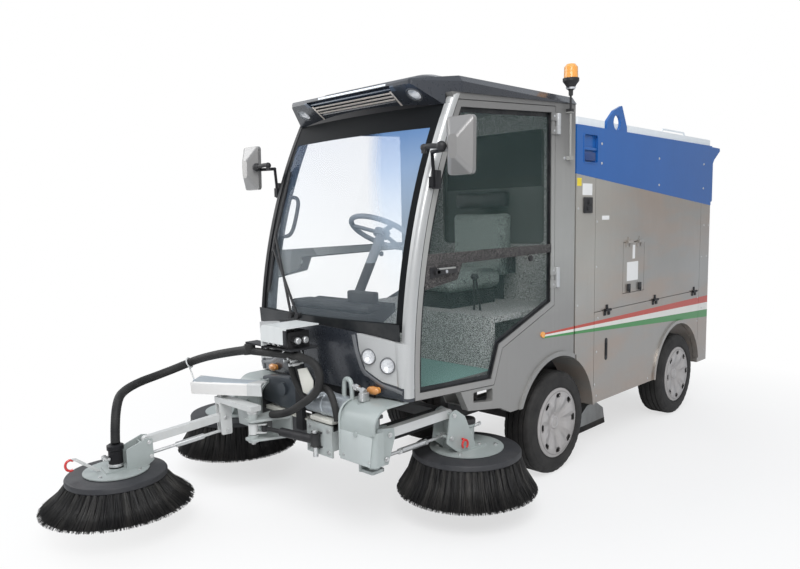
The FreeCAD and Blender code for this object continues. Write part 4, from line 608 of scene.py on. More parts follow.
@dataclass(frozen=True)
class Pane(Finish):
    """Tinted glass that is mostly clear seen square on, with opaque black bands where it is glued, any bands
    of painted shade, and a painted reflection where given.
    """

    tint: Colour
    clear: float = 0.9
    bands: tuple = ()
    painted_reflection: float = 0.0
    reflection_low: float = 1.15
    reflection_high: float = 1.75
    reflection_lean: float = 0.36
    reflection_edge: tuple[float, float] = (1.06, 1.16)
    reflection_colour: Colour = (0.12, 0.25, 0.5)

    def shade(self, n: Nodes, shader: Node) -> None:
        """Feed the shader."""
        smear = n.noise(n.place(), 5.0, 4.0, 0.6)
        colour = n.mix(n.times(smear, 0.25), self.tint, (0.62, 0.7, 0.72))
        fresnel = n.add("ShaderNodeFresnel", {"IOR": 1.5}).outputs[0]
        solid = n.plus(n.times(fresnel, 0.8), 1.0 - self.clear, clamp=True)
        solid = n.plus(solid, n.times(smear, 0.03), clamp=True)
        # The veil is a painted sky reflection: the glass turns bluer with height, and on the windscreen it
        # also grows opaque towards one side and higher up.
        if self.painted_reflection:
            axes = n.axes()
            height = axes[2]
            lean = n.plus(axes[0], n.times(height, self.reflection_lean))
            near = n.plus(n.times(n.ramp(lean, *self.reflection_edge), 0.97), 0.03)
            front = n.below(axes[1], -0.5)
            thick = n.times(n.ramp(height, self.reflection_low, self.reflection_high), self.painted_reflection, near)
            solid = n.plus(solid, n.times(thick, front), clamp=True)
            colour = n.mix(n.ramp(height, 1.3, 1.95), colour, self.reflection_colour)
        away = n.add("ShaderNodeNewGeometry").outputs["Backfacing"]
        solid = n.times(solid, n.less(1.0, away))
        gloss: object = 1.0
        for band in self.bands:
            mask = band.mask(n)
            colour = n.mix(mask, colour, band.colour)
            solid = n.math("MAXIMUM", solid, n.times(mask, band.cover))
            gloss = n.times(gloss, n.less(1.0, mask))
        n.fill(shader, {"Base Color": colour, "IOR": 1.5, "Alpha": solid, "Specular IOR Level": 0.5,
            "Roughness": 0.03})
        if self.bands:
            n.fill(shader, {"Specular IOR Level": n.plus(n.times(gloss, 0.42), 0.08),
                "Roughness": n.less(0.53, n.times(gloss, 0.5))})


@dataclass(frozen=True)
class Felt(Finish):
    """Speckled felt."""

    dark: Colour
    light: Colour
    scale: float = 170.0
    share: float = 0.5

    def shade(self, n: Nodes, shader: Node) -> None:
        """Feed the shader."""
        felt = n.effect(Effect.SPECKLE, {"Dark": self.dark, "Light": self.light, "Scale": self.scale,
            "Share": self.share}).outputs
        n.fill(shader, {"Base Color": felt["Colour"], "Roughness": 0.9})
        add_bump(n, shader, felt["Height"], 0.3, 0.002)


@dataclass(frozen=True)
class Bristle(Finish):
    """Stiff plastic strands whose tone is kept on the mesh."""

    dark: Colour = (0.01, 0.01, 0.011)
    light: Colour = (0.085, 0.08, 0.073)

    def shade(self, n: Nodes, shader: Node) -> None:
        """Feed the shader."""
        tone = n.add("ShaderNodeAttribute", attribute_name="tone").outputs["Fac"]
        cloud = n.noise(n.place(), 12.0, 3.0, 0.6)
        share = n.times(tone, n.ramp(cloud, 0.15, 0.65), clamp=True)
        n.put(shader, "Base Color", n.mix(share, self.dark, self.light))
        n.put(shader, "Roughness", n.plus(0.36, n.times(cloud, 0.25)))


@dataclass(frozen=True)
class Lens(Finish):
    """Coloured lamp plastic, with an optional second colour behind a given y."""

    colour: Colour
    rear_colour: Optional[Colour] = None
    rear_y: float = 0.0

    def shade(self, n: Nodes, shader: Node) -> None:
        """Feed the shader."""
        place = n.place()
        colour: object = self.colour
        if self.rear_colour:
            y = n.axes(place)[1]
            colour = n.mix(n.above(y, self.rear_y + ZERO.y), colour, self.rear_colour)
        ribs = n.add("ShaderNodeTexWave", {"Vector": place, "Scale": 90.0}, bands_direction="Z")
        # Painted highlight: the colour turns light yellow along the ribs.
        depth = n.times(ribs.outputs["Fac"], 0.35)
        n.put(shader, "Base Color", n.mix(depth, colour, (1.0, 0.75, 0.4)))
        n.put(shader, "Roughness", 0.15)
        n.put(shader, "Coat Weight", 0.6)
        add_bump(n, shader, ribs.outputs["Fac"], 0.3, 0.0008)


@dataclass(frozen=True)
class CabPaint(Finish):
    """Cab shell: outside paint, speckled felt inside and a rubber mat on the floor."""

    outside: Colour
    mat: Colour = (0.16, 0.3, 0.27)
    inner_x: float = 0.5455
    rear_y: float = 0.1255
    floor_z: float = 0.7175
    mat_z: float = 0.7195

    def shade(self, n: Nodes, shader: Node) -> None:
        """Feed the shader."""
        # The outside paint carries painted reflection and painted shade by height.
        painted = Striping().paint(n, painted_height_shading(n, self.outside, 0.45))
        wear = n.effect(Effect.WEAR, {"Colour": painted, "Amount": 0.25, "Roughness": 0.38})
        felt = n.effect(Effect.SPECKLE, {"Scale": 240.0})
        axes = n.axes()
        across = n.math("ABSOLUTE", n.less(axes[0], ZERO.x))
        inside = n.below(across, self.inner_x)
        before = n.below(axes[1], self.rear_y + ZERO.y)
        above = n.above(axes[2], self.floor_z)
        lined = n.times(inside, before, above)
        low = n.below(axes[2], self.mat_z)
        lining = n.mix(low, felt.outputs["Colour"], self.mat)
        n.put(shader, "Base Color", n.mix(lined, wear.outputs["Colour"], lining))
        n.put(shader, "Roughness", n.math("MAXIMUM", wear.outputs["Roughness"], n.times(lined, 0.9)))
        n.put(shader, "Metallic", n.times(n.less(1.0, lined), 0.35))
        height = n.times(felt.outputs["Height"], lined)
        add_bump(n, shader, height, 0.3, 0.002)


# ---- finishes
SOOT = (0.008, 0.009, 0.01)
# Bands of the cab glass: the first four are painted shade over the rear window, darker at its sides and
# lighter low in the middle; the SOOT ones are the black frit round the windscreen.
FRIT_AND_PAINTED_SHADE = (Patch((-0.51, 0.05, 1.0), (0.51, 1.0, 2.1), (0.04, 0.044, 0.042), cover=0.72),
    Patch((-0.372, 0.05, 1.35), (0.372, 1.0, 1.7), (0.105, 0.115, 0.11)),
    Patch((0.372, 0.05, 1.0), (0.7, 1.0, 2.1), (0.085, 0.09, 0.085)),
    Patch((-0.7, 0.05, 1.0), (-0.372, 1.0, 2.1), (0.085, 0.09, 0.085)),
    Patch((-1.0, -2.0, 0.9), (-0.506, 0.0, 2.3), SOOT), Patch((0.506, -2.0, 0.9), (1.0, 0.0, 2.3), SOOT),
    Patch((-1.0, -2.0, 1.94), (1.0, -0.3, 2.3), SOOT), Patch((-1.0, -2.0, 0.8), (1.0, -0.3, 1.04), SOOT))
SAGE = (0.43, 0.465, 0.455)
DARK = (0.013, 0.013, 0.015)
HINGE_BLACK = (Patch((0.5856, 0.0, 0.86), (0.7, 2.3, 0.985), DARK), Patch(
    (-0.7, 0.0, 0.86), (-0.5856, 2.3, 0.985), DARK))
SHADOW = (0.03, 0.031, 0.034)
GREY_PAINT = (0.3, 0.295, 0.285)
STONE_PAINT = (0.36, 0.35, 0.33)


class Palette:
    """Every finish of the machine, built on first use."""

    def __init__(self) -> None:
        """List the finishes by name."""
        self.recipes: dict[str, object] = {r.name: r for r in (
            Paint("chassis_paint", (0.075, 0.078, 0.082), roughness=0.5, coat=0.1, grime=0.5,
                patches=(Patch((-0.6, -2.0, 0.3), (0.6, -1.402, 0.62), SAGE),
                Patch((0.28, -2.0, 0.3), (0.6, -1.33, 0.42), SAGE),
                Patch((-0.6, -2.0, 0.3), (-0.28, -1.33, 0.42), SAGE))),
            Paint("axle_casting", (0.035, 0.035, 0.037), roughness=0.7, coat=0.0, grime=0.7),
            Paint("engine_casting", (0.06, 0.06, 0.062), roughness=0.7, coat=0.0, grime=0.5),
            Paint("silver_paint", (0.46, 0.465, 0.46), metallic=0.35, roughness=0.33, flake=0.1, grime=0.12,
                patches=(Patch((-0.544, -2.0, 1.99), (0.544, 0.0, 2.3), DARK),
                Patch((-0.572, -2.0, 0.985), (-0.4, 0.0, 2.3), DARK),
                Patch((-0.5, -2.0, 0.985), (0.54, 0.0, 2.0), DARK))),
            Paint("fitting_silver", (0.5, 0.51, 0.515), metallic=0.35, roughness=0.33, flake=0.1,
                grime=0.12),
            Paint("slate", (0.055, 0.068, 0.082), metallic=0.2, roughness=0.38, coat=0.3, grime=0.3),
            # nose_edge's lighter paint is a painted highlight along the nose's crease.
            Paint("nose_edge", (0.19, 0.195, 0.205), metallic=0.3, roughness=0.3, coat=0.4, grime=0.1),
            Paint("cream_plate", (0.7, 0.69, 0.62), roughness=0.4, coat=0.2, grime=0.2),
            Paint("roof_paint", (0.03, 0.034, 0.042), metallic=0.15, roughness=0.28, coat=0.5, grime=0.12,
                # The two patches are painted light: a bluish painted sky reflection on the visor's top and a
                # pale painted highlight strip along its lip.
                patches=(Patch((-0.34, -1.12, 2.126), (0.34, -0.9, 2.148), (0.065, 0.09, 0.13)),
                Patch((-0.22, -1.12, 2.153), (0.29, -1.07, 2.1625), (0.74, 0.79, 0.85)))),
            Paint("hood_paint", (0.66, 0.68, 0.67), roughness=0.38, coat=0.25, grime=0.2,
                patches=(Patch((-1.0, -2.0, 0.0), (1.0, 0.0, 0.918), SHADOW),
                Patch((0.095, -2.0, 0.0), (0.2, -1.45, 1.01), SHADOW))),
            Paint("mouth_paint", (0.36, 0.37, 0.37), metallic=0.4, roughness=0.45, grime=0.5,
                patches=(Patch((-1.0, 0.0, 0.0), (1.0, 2.0, 0.075), DARK),)),
            Paint("graphite_paint", (0.026, 0.03, 0.038), metallic=0.15, roughness=0.28, coat=0.4,
                grime=0.04),
            # door_paint and stone_paint paint light in through their sheen: painted reflection and painted
            # shade by height on the doors, painted reflections on the stone panels.
            Paint("door_paint", GREY_PAINT, metallic=0.35, roughness=0.36, grime=0.15, painted_sheen=-0.45,
                patches=(Patch((-0.5525, -2.0, 0.0), (0.5525, 1.0, 2.3), DARK),)),
            Paint("stone_paint", STONE_PAINT, metallic=0.55, roughness=0.3, flake=0.1, grime=0.2,
                striping=Striping(), patches=HINGE_BLACK, painted_sheen=0.5),
            Paint("blue_paint", (0.012, 0.108, 0.37), roughness=0.3, coat=0.2, grime=0.1),
            Paint("cover_paint", (0.8, 0.84, 0.86), roughness=0.5, coat=0.1, grime=0.15),
            Paint("boom_paint", (0.6, 0.61, 0.6), roughness=0.38, coat=0.25, grime=0.2,
                patches=(Patch((-0.8, -2.0, 0.64), (-0.29, 0.0, 0.715), (0.8, 0.785, 0.76), 0.0867),
                Patch((-0.8, -2.0, 0.715), (-0.29, 0.0, 0.73), (0.42, 0.48, 0.53), 0.0867))),
            Paint("head_paint", (0.37, 0.41, 0.4), roughness=0.4, coat=0.2, grime=0.35,
                patches=(Patch((-0.665, -2.16, 0.322), (-0.571, -2.066, 0.5), DARK),)),
            Moulded("pole_paint", (0.02, 0.02, 0.022), 0.45,
                patches=(Patch((0.5, 0.0, 1.8), (0.7, 0.2, 2.105), (0.34, 0.34, 0.325)),)),
            Paint("pale_paint", (0.6, 0.61, 0.6), roughness=0.38, coat=0.25, grime=0.25),
            Paint("guard_cover", (0.47, 0.51, 0.5), roughness=0.4, coat=0.2, grime=0.25),
            Paint("sage_paint", (0.37, 0.41, 0.4), roughness=0.4, coat=0.2, grime=0.35),
            Paint("cover_silver", (0.44, 0.42, 0.41), metallic=0.3, roughness=0.36, grime=0.3, lobes=8),
            Paint("cap_silver", (0.5, 0.485, 0.48), metallic=0.4, roughness=0.3, grime=0.2),
            CabPaint("cab_paint", GREY_PAINT),
            Moulded("black_moulded", (0.02, 0.02, 0.022), 0.45),
            Moulded("interior_moulded", (0.012, 0.013, 0.014), 0.65,
                patches=(Patch((-0.35, -1.2, 1.285), (0.35, -0.65, 1.6), (0.22, 0.245, 0.27)),)),
            Moulded("tyre_rubber", (0.02, 0.019, 0.0185), 0.62, scale=400.0, depth=0.4),
            Moulded("hose_rubber", (0.018, 0.018, 0.018), 0.6, scale=500.0, depth=0.6),
            Moulded("brush_block", (0.035, 0.036, 0.04), 0.5, scale=700.0),
            Bristle("bristle"),
            Moulded("bristle_core", (0.008, 0.008, 0.009), 0.8, scale=300.0, depth=0.8),
            Paint("mirror_housing", (0.27, 0.265, 0.26), metallic=0.5, roughness=0.35, grime=0.1,
                patches=(Patch((-0.712, -2.0, 1.0), (0.712, 0.0, 2.3), DARK),)),
            Moulded("seat_vinyl", (0.022, 0.023, 0.025), 0.55, scale=1200.0, depth=0.3),
            Felt("seat_cloth", (0.035, 0.045, 0.042), (0.36, 0.42, 0.39), 240.0, 0.5),
            Zinc("bright_steel", (0.72, 0.72, 0.71), 200.0, 0.9),
            Pane("cab_glazing", (0.66, 0.78, 0.88), 0.96, FRIT_AND_PAINTED_SHADE, 0.62),
            Pane("door_glazing", (0.03, 0.1, 0.085), 0.9),
            Pane("door_glazing_far", (0.6, 0.68, 0.7), 0.97),
            Pane("lamp_glass", (0.7, 0.74, 0.78), 0.8),
            Pane("dark_glass", (0.02, 0.04, 0.05), 0.15),
            Zinc("chrome", (0.9, 0.9, 0.92), 30.0, 1.0),
            Zinc("lamp_bowl", (0.88, 0.87, 0.87), 60.0, 0.6),
            Paint("lamp_ring", (0.16, 0.165, 0.17), metallic=0.6, roughness=0.3, coat=0.2, grime=0.1),
            Zinc("plated", (0.5, 0.54, 0.57), 45.0, 0.55),
            Zinc("champagne", (0.78, 0.7, 0.62), 300.0, 0.35),
            Felt("felt_dark", (0.02, 0.019, 0.019), (0.16, 0.15, 0.145), 260.0, 0.56),
            Lens("amber_dome", (0.5, 0.15, 0.002)),
            Moulded("frit", (0.01, 0.012, 0.014), 0.25, scale=1500.0, depth=0.05),
            Moulded("label_white", (0.8, 0.8, 0.79), 0.5, scale=1500.0, depth=0.05),
            Moulded("label_yellow", (0.8, 0.62, 0.04), 0.5, scale=1500.0, depth=0.05),
            Paint("hook_red", (0.62, 0.03, 0.028), roughness=0.35, grime=0.1),
            Paint("blue_deep", (0.012, 0.045, 0.17), roughness=0.45, coat=0.2, grime=0.2),
            Lens("amber_lens", (0.85, 0.3, 0.01), (0.55, 0.01, 0.01), 2.0),
            Lens("clear_lens", (0.75, 0.78, 0.8)),
        )}
        self.built: dict[str, Material] = {}

    def get(self, name: str) -> Material:
        """The material of a finish."""
        if name not in self.built:
            self.built[name] = self.recipes[name].build()
        return self.built[name]


PALETTE = Palette()


def dress(node: str, finish: str) -> None:
    """Give a CAD node its finish.

    Args:
        node: the node's name.
        finish: the finish's name.
    """
    mesh = frame["nodes"][node].data
    mesh.materials.clear()
    mesh.materials.append(PALETTE.get(finish))


# Each finish's nodes; * stands for left and right.
DRESSED = {
    "chassis_paint": "chassis_frame",
    "axle_casting": "axles knuckle_*",
    "engine_casting": "engine_block",
    "mouth_paint": "suction_mouth",
    "cab_paint": "cab_shell",
    "silver_paint": "front_frame",
    "graphite_paint": "nose_panel",
    "cab_glazing": "cab_glass",
    "roof_paint": "cab_roof",
    "clear_lens": "lamps",
    "amber_lens": "marker_lamps",
    "pole_paint": "beacon_pole",
    "interior_moulded": "cab_console",
    "seat_cloth": "seat",
    "mirror_housing": "mirrors",
    "black_moulded": "wiper valve_block swing_cylinder",
    "stone_paint": "body_shell upper_panels service_hatch skirt_*",
    "blue_paint": "hopper tailgate",
    "cover_paint": "hopper_cover",
    "sage_paint": "brush_guards side_bracket_* side_head_*",
    "hood_paint": "valve_hood",
    "boom_paint": "front_boom",
    "pale_paint": "front_arm side_arm_*",
    "bright_steel": "front_rod side_rod_*",
    "head_paint": "front_head",
    "brush_block": "front_brush side_brush_*",
    "hose_rubber": "brush_hose hose_elbow",
    "door_paint": "door_frame_*",
    "door_glazing": "door_glass_left",
    "tyre_rubber": "tyre_front_* tyre_rear_*",
    "cover_silver": "wheel_front_* wheel_rear_*",
    "door_glazing_far": "door_glass_right",
}
NODE_FINISH = {node.replace("*", side): finish for finish, nodes in DRESSED.items() for node in nodes.split()
    for side in ("left", "right")}


# ---- camera, light and floor
@dataclass
class Studio:
    """Camera, lamps, world and floor."""

    eye: tuple[float, float, float] = (2.717, -3.486, 1.514)
    turn: float = 0.77624
    down: float = 0.10748
    roll: float = -0.01768
    lens: float = 31.146
    shift: float = 0.01215
    floor_size: float = 60.0

    def camera(self) -> None:
        """Place the camera and make it the scene's."""
        data = bpy.data.cameras.new("view")
        data.lens = self.lens
        data.sensor_width = 36.0
        data.shift_y = self.shift
        data.clip_end = 200.0
        camera = bpy.data.objects.new("view", data)
        ahead = Vector((-sin(self.turn) * cos(self.down), cos(self.turn) * cos(self.down), -sin(self.down)))
        level = Vector((cos(self.turn), sin(self.turn), 0.0))
        over = level.cross(ahead)
        right = level * cos(self.roll) + over * sin(self.roll)
        up = over * cos(self.roll) - level * sin(self.roll)
        camera.matrix_world = Matrix((right, up, -ahead)).transposed().to_4x4()
        camera.location = at(*self.eye)
        link(camera)
        bpy.context.scene.camera = camera

    def world(self) -> None:
        """Soft sky light, white to the camera and through glass."""
        world = bpy.data.worlds.new("studio")
        world.use_nodes = True
        world.node_tree.nodes.clear()
        n = Nodes(world.node_tree)
        direction = n.add("ShaderNodeTexCoord").outputs["Generated"]
        height = n.axes(direction)[2]
        sky = n.mix(n.ramp(height, -0.05, 0.45), (0.42, 0.4, 0.38), (0.86, 0.9, 0.96))
        soft = n.add("ShaderNodeBackground", {"Color": sky, "Strength": 0.78})
        white = n.add("ShaderNodeBackground", {"Color": (1.0, 1.0, 1.0), "Strength": 1.0})
        rays = n.add("ShaderNodeLightPath")
        seen = n.math("MAXIMUM", rays.outputs["Is Camera Ray"], rays.outputs["Is Transmission Ray"])
        both = n.add("ShaderNodeMixShader", {0: seen, 1: soft, 2: white})
        n.add("ShaderNodeOutputWorld", {"Surface": both})
        bpy.context.scene.world = world

    def lamps(self) -> None:
        """A broad key from the front left and a weaker fill from the rear right."""
        for name, place, size, power in (("key", (3.4, -3.8, 5.2), 4.0, 260.0),
                ("fill", (-4.5, -3.0, 3.5), 4.0, 110.0)):
            data = bpy.data.lights.new(name, "AREA")
            data.shape = "DISK"
            data.size = size
            data.energy = power
            lamp = bpy.data.objects.new(name, data)
            lamp.location = at(*place)
            aim = at(0.0, 0.4, 0.9) - lamp.location
            lamp.rotation_euler = aim.to_track_quat("-Z", "Y").to_euler()
            link(lamp)

    def floor(self) -> None:
        """A plain pale floor that looks white to the camera but keeps shadows."""
        mesh = bpy.data.meshes.new("floor")
        shape = bmesh.new()
        bmesh.ops.create_grid(shape, x_segments=1, y_segments=1, size=self.floor_size)
        bmesh.ops.translate(shape, verts=shape.verts, vec=(0.0, 0.0, CAD_BOX[0][2]))
        shape.to_mesh(mesh)
        shape.free()
        floor = bpy.data.objects.new("floor", mesh)
        link(floor)
        material, n, shader = blank_material("floor_white")
        n.put(shader, "Base Color", n.mix(n.noise(n.place(), 0.8), (0.8, 0.8, 0.8), (0.82, 0.82, 0.82)))
        n.put(shader, "Roughness", 0.95)
        n.put(shader, "Specular IOR Level", 0.0)
        glow = n.add("ShaderNodeEmission", {"Color": (1.0, 1.0, 1.0), "Strength": 1.0})
        rays = n.add("ShaderNodeLightPath")
        flat = n.axes()
        out = n.math("SQRT", n.plus(n.math("POWER", flat[0], 2.0), n.math(
            "POWER", n.less(flat[1], 0.4), 2.0)))
        far = n.plus(0.66, n.times(n.ramp(out, 1.6, 3.6), 0.34), clamp=True)
        share = n.times(rays.outputs["Is Camera Ray"], far)
        both = n.add("ShaderNodeMixShader", {0: share, 1: shader, 2: glow})
        output = next(node for node in material.node_tree.nodes if node.type == "OUTPUT_MATERIAL")
        n.put(output, "Surface", both)
        mesh.materials.append(material)

    def build(self) -> None:
        """Set up the whole studio."""
        bpy.context.scene.view_settings.view_transform = "Standard"
        self.camera()
        self.world()
        self.lamps()
        self.floor()


# ---- mesh building
def put_in_scene(name: str, data: bpy.types.ID, finish: str, body: str) -> Object:
    """Make a piece of a mesh or curve, with its finish, riding on a body.

    Args:
        name: the piece's name.
        data: its mesh or curve.
        finish: the finish's name in the palette.
        body: the CAD body that it moves with.

    Returns:
        The piece.
    """
    data.materials.append(PALETTE.get(finish))
    piece = bpy.data.objects.new(name, data)
    link(piece)
    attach(piece, body)
    return piece


class Shape:
    """A mesh under construction, in metres from the machine's own zero."""

    def __init__(self) -> None:
        """Start empty."""
        self.mesh = bmesh.new()

    def _soften(self, verts: Iterable[bmesh.types.BMVert], width: float, segments: int) -> None:
        """Round the edges between some vertices."""
        if width > 0.0:
            edges = list({edge for vert in verts for edge in vert.link_edges})
            bmesh.ops.bevel(self.mesh, geom=edges, offset=width, segments=segments, profile=0.5,
                affect="EDGES", material=-1)

    def rod(self, a: Point, b: Point, radius: float, end: Optional[float] = None, sides: int = 20) -> "Shape":
        """Add a round bar.

        Args:
            a: centre of the first end.
            b: centre of the second end.
            radius: radius at the first end.
            end: radius at the second end, if it differs.
            sides: facets round it.

        Returns:
            This shape.
        """
        a, b = Vector(a), Vector(b)
        turn = (b - a).to_track_quat("Z", "Y").to_matrix().to_4x4()
        place = Matrix.Translation((a + b) / 2) @ turn
        bmesh.ops.create_cone(self.mesh, cap_ends=True, segments=sides, radius1=radius, radius2=radius
            if end is None else end, depth=(b - a).length, matrix=place)
        return self

    def nut(self, a: Point, b: Point, radius: float) -> "Shape":
        """Add a hexagonal bar."""
        return self.rod(a, b, radius, sides=6)

    def ball(self, centre: Point, radius: float) -> "Shape":
        """Add a ball."""
        bmesh.ops.create_uvsphere(self.mesh, u_segments=20, v_segments=12, radius=radius,
            matrix=Matrix.Translation(Vector(centre)))
        return self

    def wire(self, points: Sequence[Point], radius: float) -> "Shape":
        """Add thin round bars through points, with a ball at each bend."""
        for a, b in zip(points, points[1:]):
            self.rod(a, b, radius, sides=10).ball(b, radius)
        return self

    def block(self, low: Point, high: Point, bevel: float = 0.0015, segments: int = 2) -> "Shape":
        """Add a box with rounded edges."""
        low, high = Vector(low), Vector(high)
        place = Matrix.Translation((low + high) / 2) @ Matrix.Diagonal((*(high - low), 1.0))
        made = bmesh.ops.create_cube(self.mesh, size=1.0, matrix=place)
        self._soften(made["verts"], bevel, segments)
        return self

    def plate(self, corners: Sequence[Point], depth: Point, bevel: float = 0.0) -> "Shape":
        """Add a flat outline given a thickness.

        Args:
            corners: the outline's points in order.
            depth: the thickness, as a vector.
            bevel: rounding of its edges.

        Returns:
            This shape.
        """
        verts = [self.mesh.verts.new(Vector(p)) for p in corners]
        face = self.mesh.faces.new(verts)
        made = bmesh.ops.extrude_face_region(self.mesh, geom=[face])["geom"]
        moved = [v for v in made if isinstance(v, bmesh.types.BMVert)]
        bmesh.ops.translate(self.mesh, verts=moved, vec=Vector(depth))
        self._soften(verts + moved, bevel, 2)
        return self

    def side_plate(self, x: float, outline: Sequence[Point], thick: float, bevel: float = 0.0) -> "Shape":
        """Add a plate across the machine at x, its outline in pairs of y and z."""
        return self.plate([(x, y, z) for y, z in outline], (thick, 0, 0), bevel)

    def front_plate(self, y: float, outline: Sequence[Point], thick: float, bevel: float = 0.0) -> "Shape":
        """Add a plate that faces ahead at y, its outline in pairs of x and z."""
        return self.plate([(x, y, z) for x, z in outline], (0, thick, 0), bevel)

    def turned(self, origin: Point, axis: Point, profile: Sequence[Point], sides: int = 32,
            closed: bool = False) -> "Shape":
        """Add a solid of revolution.

        Args:
            origin: a point on the axis.
            axis: the axis's direction.
            profile: pairs of distance along the axis and distance from it.
            sides: steps round the axis.
            closed: whether the profile is a closed ring clear of the axis.

        Returns:
            This shape.
        """
        origin, axis = Vector(origin), Vector(axis).normalized()
        out = axis.orthogonal().normalized()
        line = [self.mesh.verts.new(origin + axis * along + out * far) for along, far in profile]
        pairs = list(zip(line, line[1:])) + ([(line[-1], line[0])] if closed else [])
        edges = [self.mesh.edges.new(pair) for pair in pairs]
        bmesh.ops.spin(self.mesh, geom=line + edges, cent=origin, axis=axis, angle=2 * pi, steps=sides,
            use_merge=True, use_duplicate=False)
        bmesh.ops.remove_doubles(self.mesh, verts=self.mesh.verts, dist=1e-6)
        return self

    def bolts(self, seats: Iterable[Point], way: Point, radius: float) -> "Shape":
        """Add a washer and a hexagonal head at each seat, standing off a surface along way."""
        way = Vector(way).normalized()
        for seat in map(Vector, seats):
            self.rod(seat - way * 0.001, seat + way * radius * 0.2, radius * 1.25)
            self.rod(seat + way * radius * 0.2, seat + way * radius * 0.85, radius, radius * 0.93, 6)
        return self

    def pins(self, places: Iterable[Point], half: float, radius: float) -> "Shape":
        """Add a bolt at both ends of each cross pin, given by its x, its z and half its length."""
        for x, z in places:
            for side in SIDES:
                self.bolts([(x, side * half, z)], (0, side, 0), radius)
        return self

    def bolt_ring(self, reach: float, ring: float, z: float, angles: Iterable[float],
            radius: float) -> "Shape":
        """Add upright bolts on a circle about a brush's axis."""
        return self.bolts([(reach + ring * cos(radians(a)), ring * sin(radians(a)), z) for a in angles], UP,
            radius)

    def studs(self, seats: Iterable[Point], way: Point, radius: float) -> "Shape":
        """Add a low domed rivet head at each seat."""
        way = Vector(way).normalized()
        dome = [(-0.001, radius), (0.001, radius), (radius * 0.4, radius * 0.75),
            (radius * 0.55, radius * 0.3), (radius * 0.58, 0)]
        for seat in seats:
            self.turned(Vector(seat), way, dome, 14)
        return self

    def band(self, rings: Sequence[Sequence[Point]], closed: bool = False, capped: bool = False) -> "Shape":
        """Add a skin over sections given as rings of points.

        Args:
            rings: the sections, each with the same number of points in order round it.
            closed: whether each section is a closed ring.
            capped: whether the first and last section get a face.

        Returns:
            This shape.
        """
        lines = [[self.mesh.verts.new(p) for p in ring] for ring in rings]
        count = len(lines[0])
        for near, far in zip(lines, lines[1:]):
            for i in range(count if closed else count - 1):
                j = (i + 1) % count
                self.mesh.faces.new((near[i], near[j], far[j], far[i]))
        if capped:
            self.mesh.faces.new(lines[0])
            self.mesh.faces.new(lines[-1])
        return self

    def mirrored(self) -> "Shape":
        """Add the same on the machine's other side."""
        geom = self.mesh.verts[:] + self.mesh.edges[:] + self.mesh.faces[:]
        bmesh.ops.mirror(self.mesh, geom=geom, matrix=Matrix.Identity(4), merge_dist=-1.0, axis="X")
        return self

    def finish(self, name: str, finish: str, body: str = "chassis", place: Matrix = Matrix.Identity(4),
            sharp: float = 35.0) -> Object:
        """Turn the shape into a finished piece on a body.

        Args:
            name: the piece's name.
            finish: the finish's name in the palette.
            body: the CAD body that it moves with.
            place: where the shape's own origin and axes lie, from the machine's zero.
            sharp: edges sharper than this many degrees stay crisp.

        Returns:
            The piece.
        """
        bmesh.ops.transform(self.mesh, matrix=Matrix.Translation(ZERO) @ place, verts=self.mesh.verts)
        bmesh.ops.recalc_face_normals(self.mesh, faces=self.mesh.faces)
        data = bpy.data.meshes.new(name)
        self.mesh.to_mesh(data)
        self.mesh.free()
        data.shade_smooth()
        data.set_sharp_from_angle(angle=radians(sharp))
        return put_in_scene(name, data, finish, body)


def other_side(side: str) -> Matrix:
    """The mirror that takes a left piece to a side."""
    return Matrix.Diagonal((1.0 if side == "left" else -1.0, 1.0, 1.0, 1.0))


def heading_place(joint: str, reach: float, degrees: float) -> Matrix:
    """Axes of an arm: +X along its heading from its swing pin, whose place comes from a pin further along it.

    Args:
        joint: a joint on the arm.
        reach: that joint's distance from the swing pin.
        degrees: the arm's heading from +X.

    Returns:
        The matrix from the arm's own axes to the machine's.
    """
    turn = Matrix.Rotation(radians(degrees), 4, "Z")
    pin = joint_place(joint) - ZERO
    start = Vector((pin.x, pin.y, 0)) - turn @ Vector((reach, 0, 0))
    return Matrix.Translation(start) @ turn


def smooth_curve(name: str, points: Sequence[Point], steps: int) -> bpy.types.Curve:
    """A smooth line that control points from the machine's zero pull, as a curve.

    Args:
        name: the curve's name.
        points: its control points.
        steps: pieces between two of them.

    Returns:
        The curve.
    """
    data = bpy.data.curves.new(name, "CURVE")
    data.dimensions = "3D"
    spline = data.splines.new("NURBS")
    spline.points.add(len(points) - 1)
    for point, place in zip(spline.points, points):
        point.co = (*at(*place), 1.0)
    spline.order_u = 3
    spline.use_endpoint_u = True
    spline.resolution_u = steps
    return data


def pipe(name: str, points: Sequence[Point], radius: float, finish: str) -> None:
    """A smooth round pipe on the chassis through control points.

    Args:
        name: the piece's name.
        points: control points from the machine's zero.
        radius: the pipe's radius.
        finish: the finish's name.
    """
    data = smooth_curve(name, points, 8)
    data.bevel_depth = radius
    data.bevel_resolution = 4
    data.use_fill_caps = True
    put_in_scene(name, data, finish, "chassis")


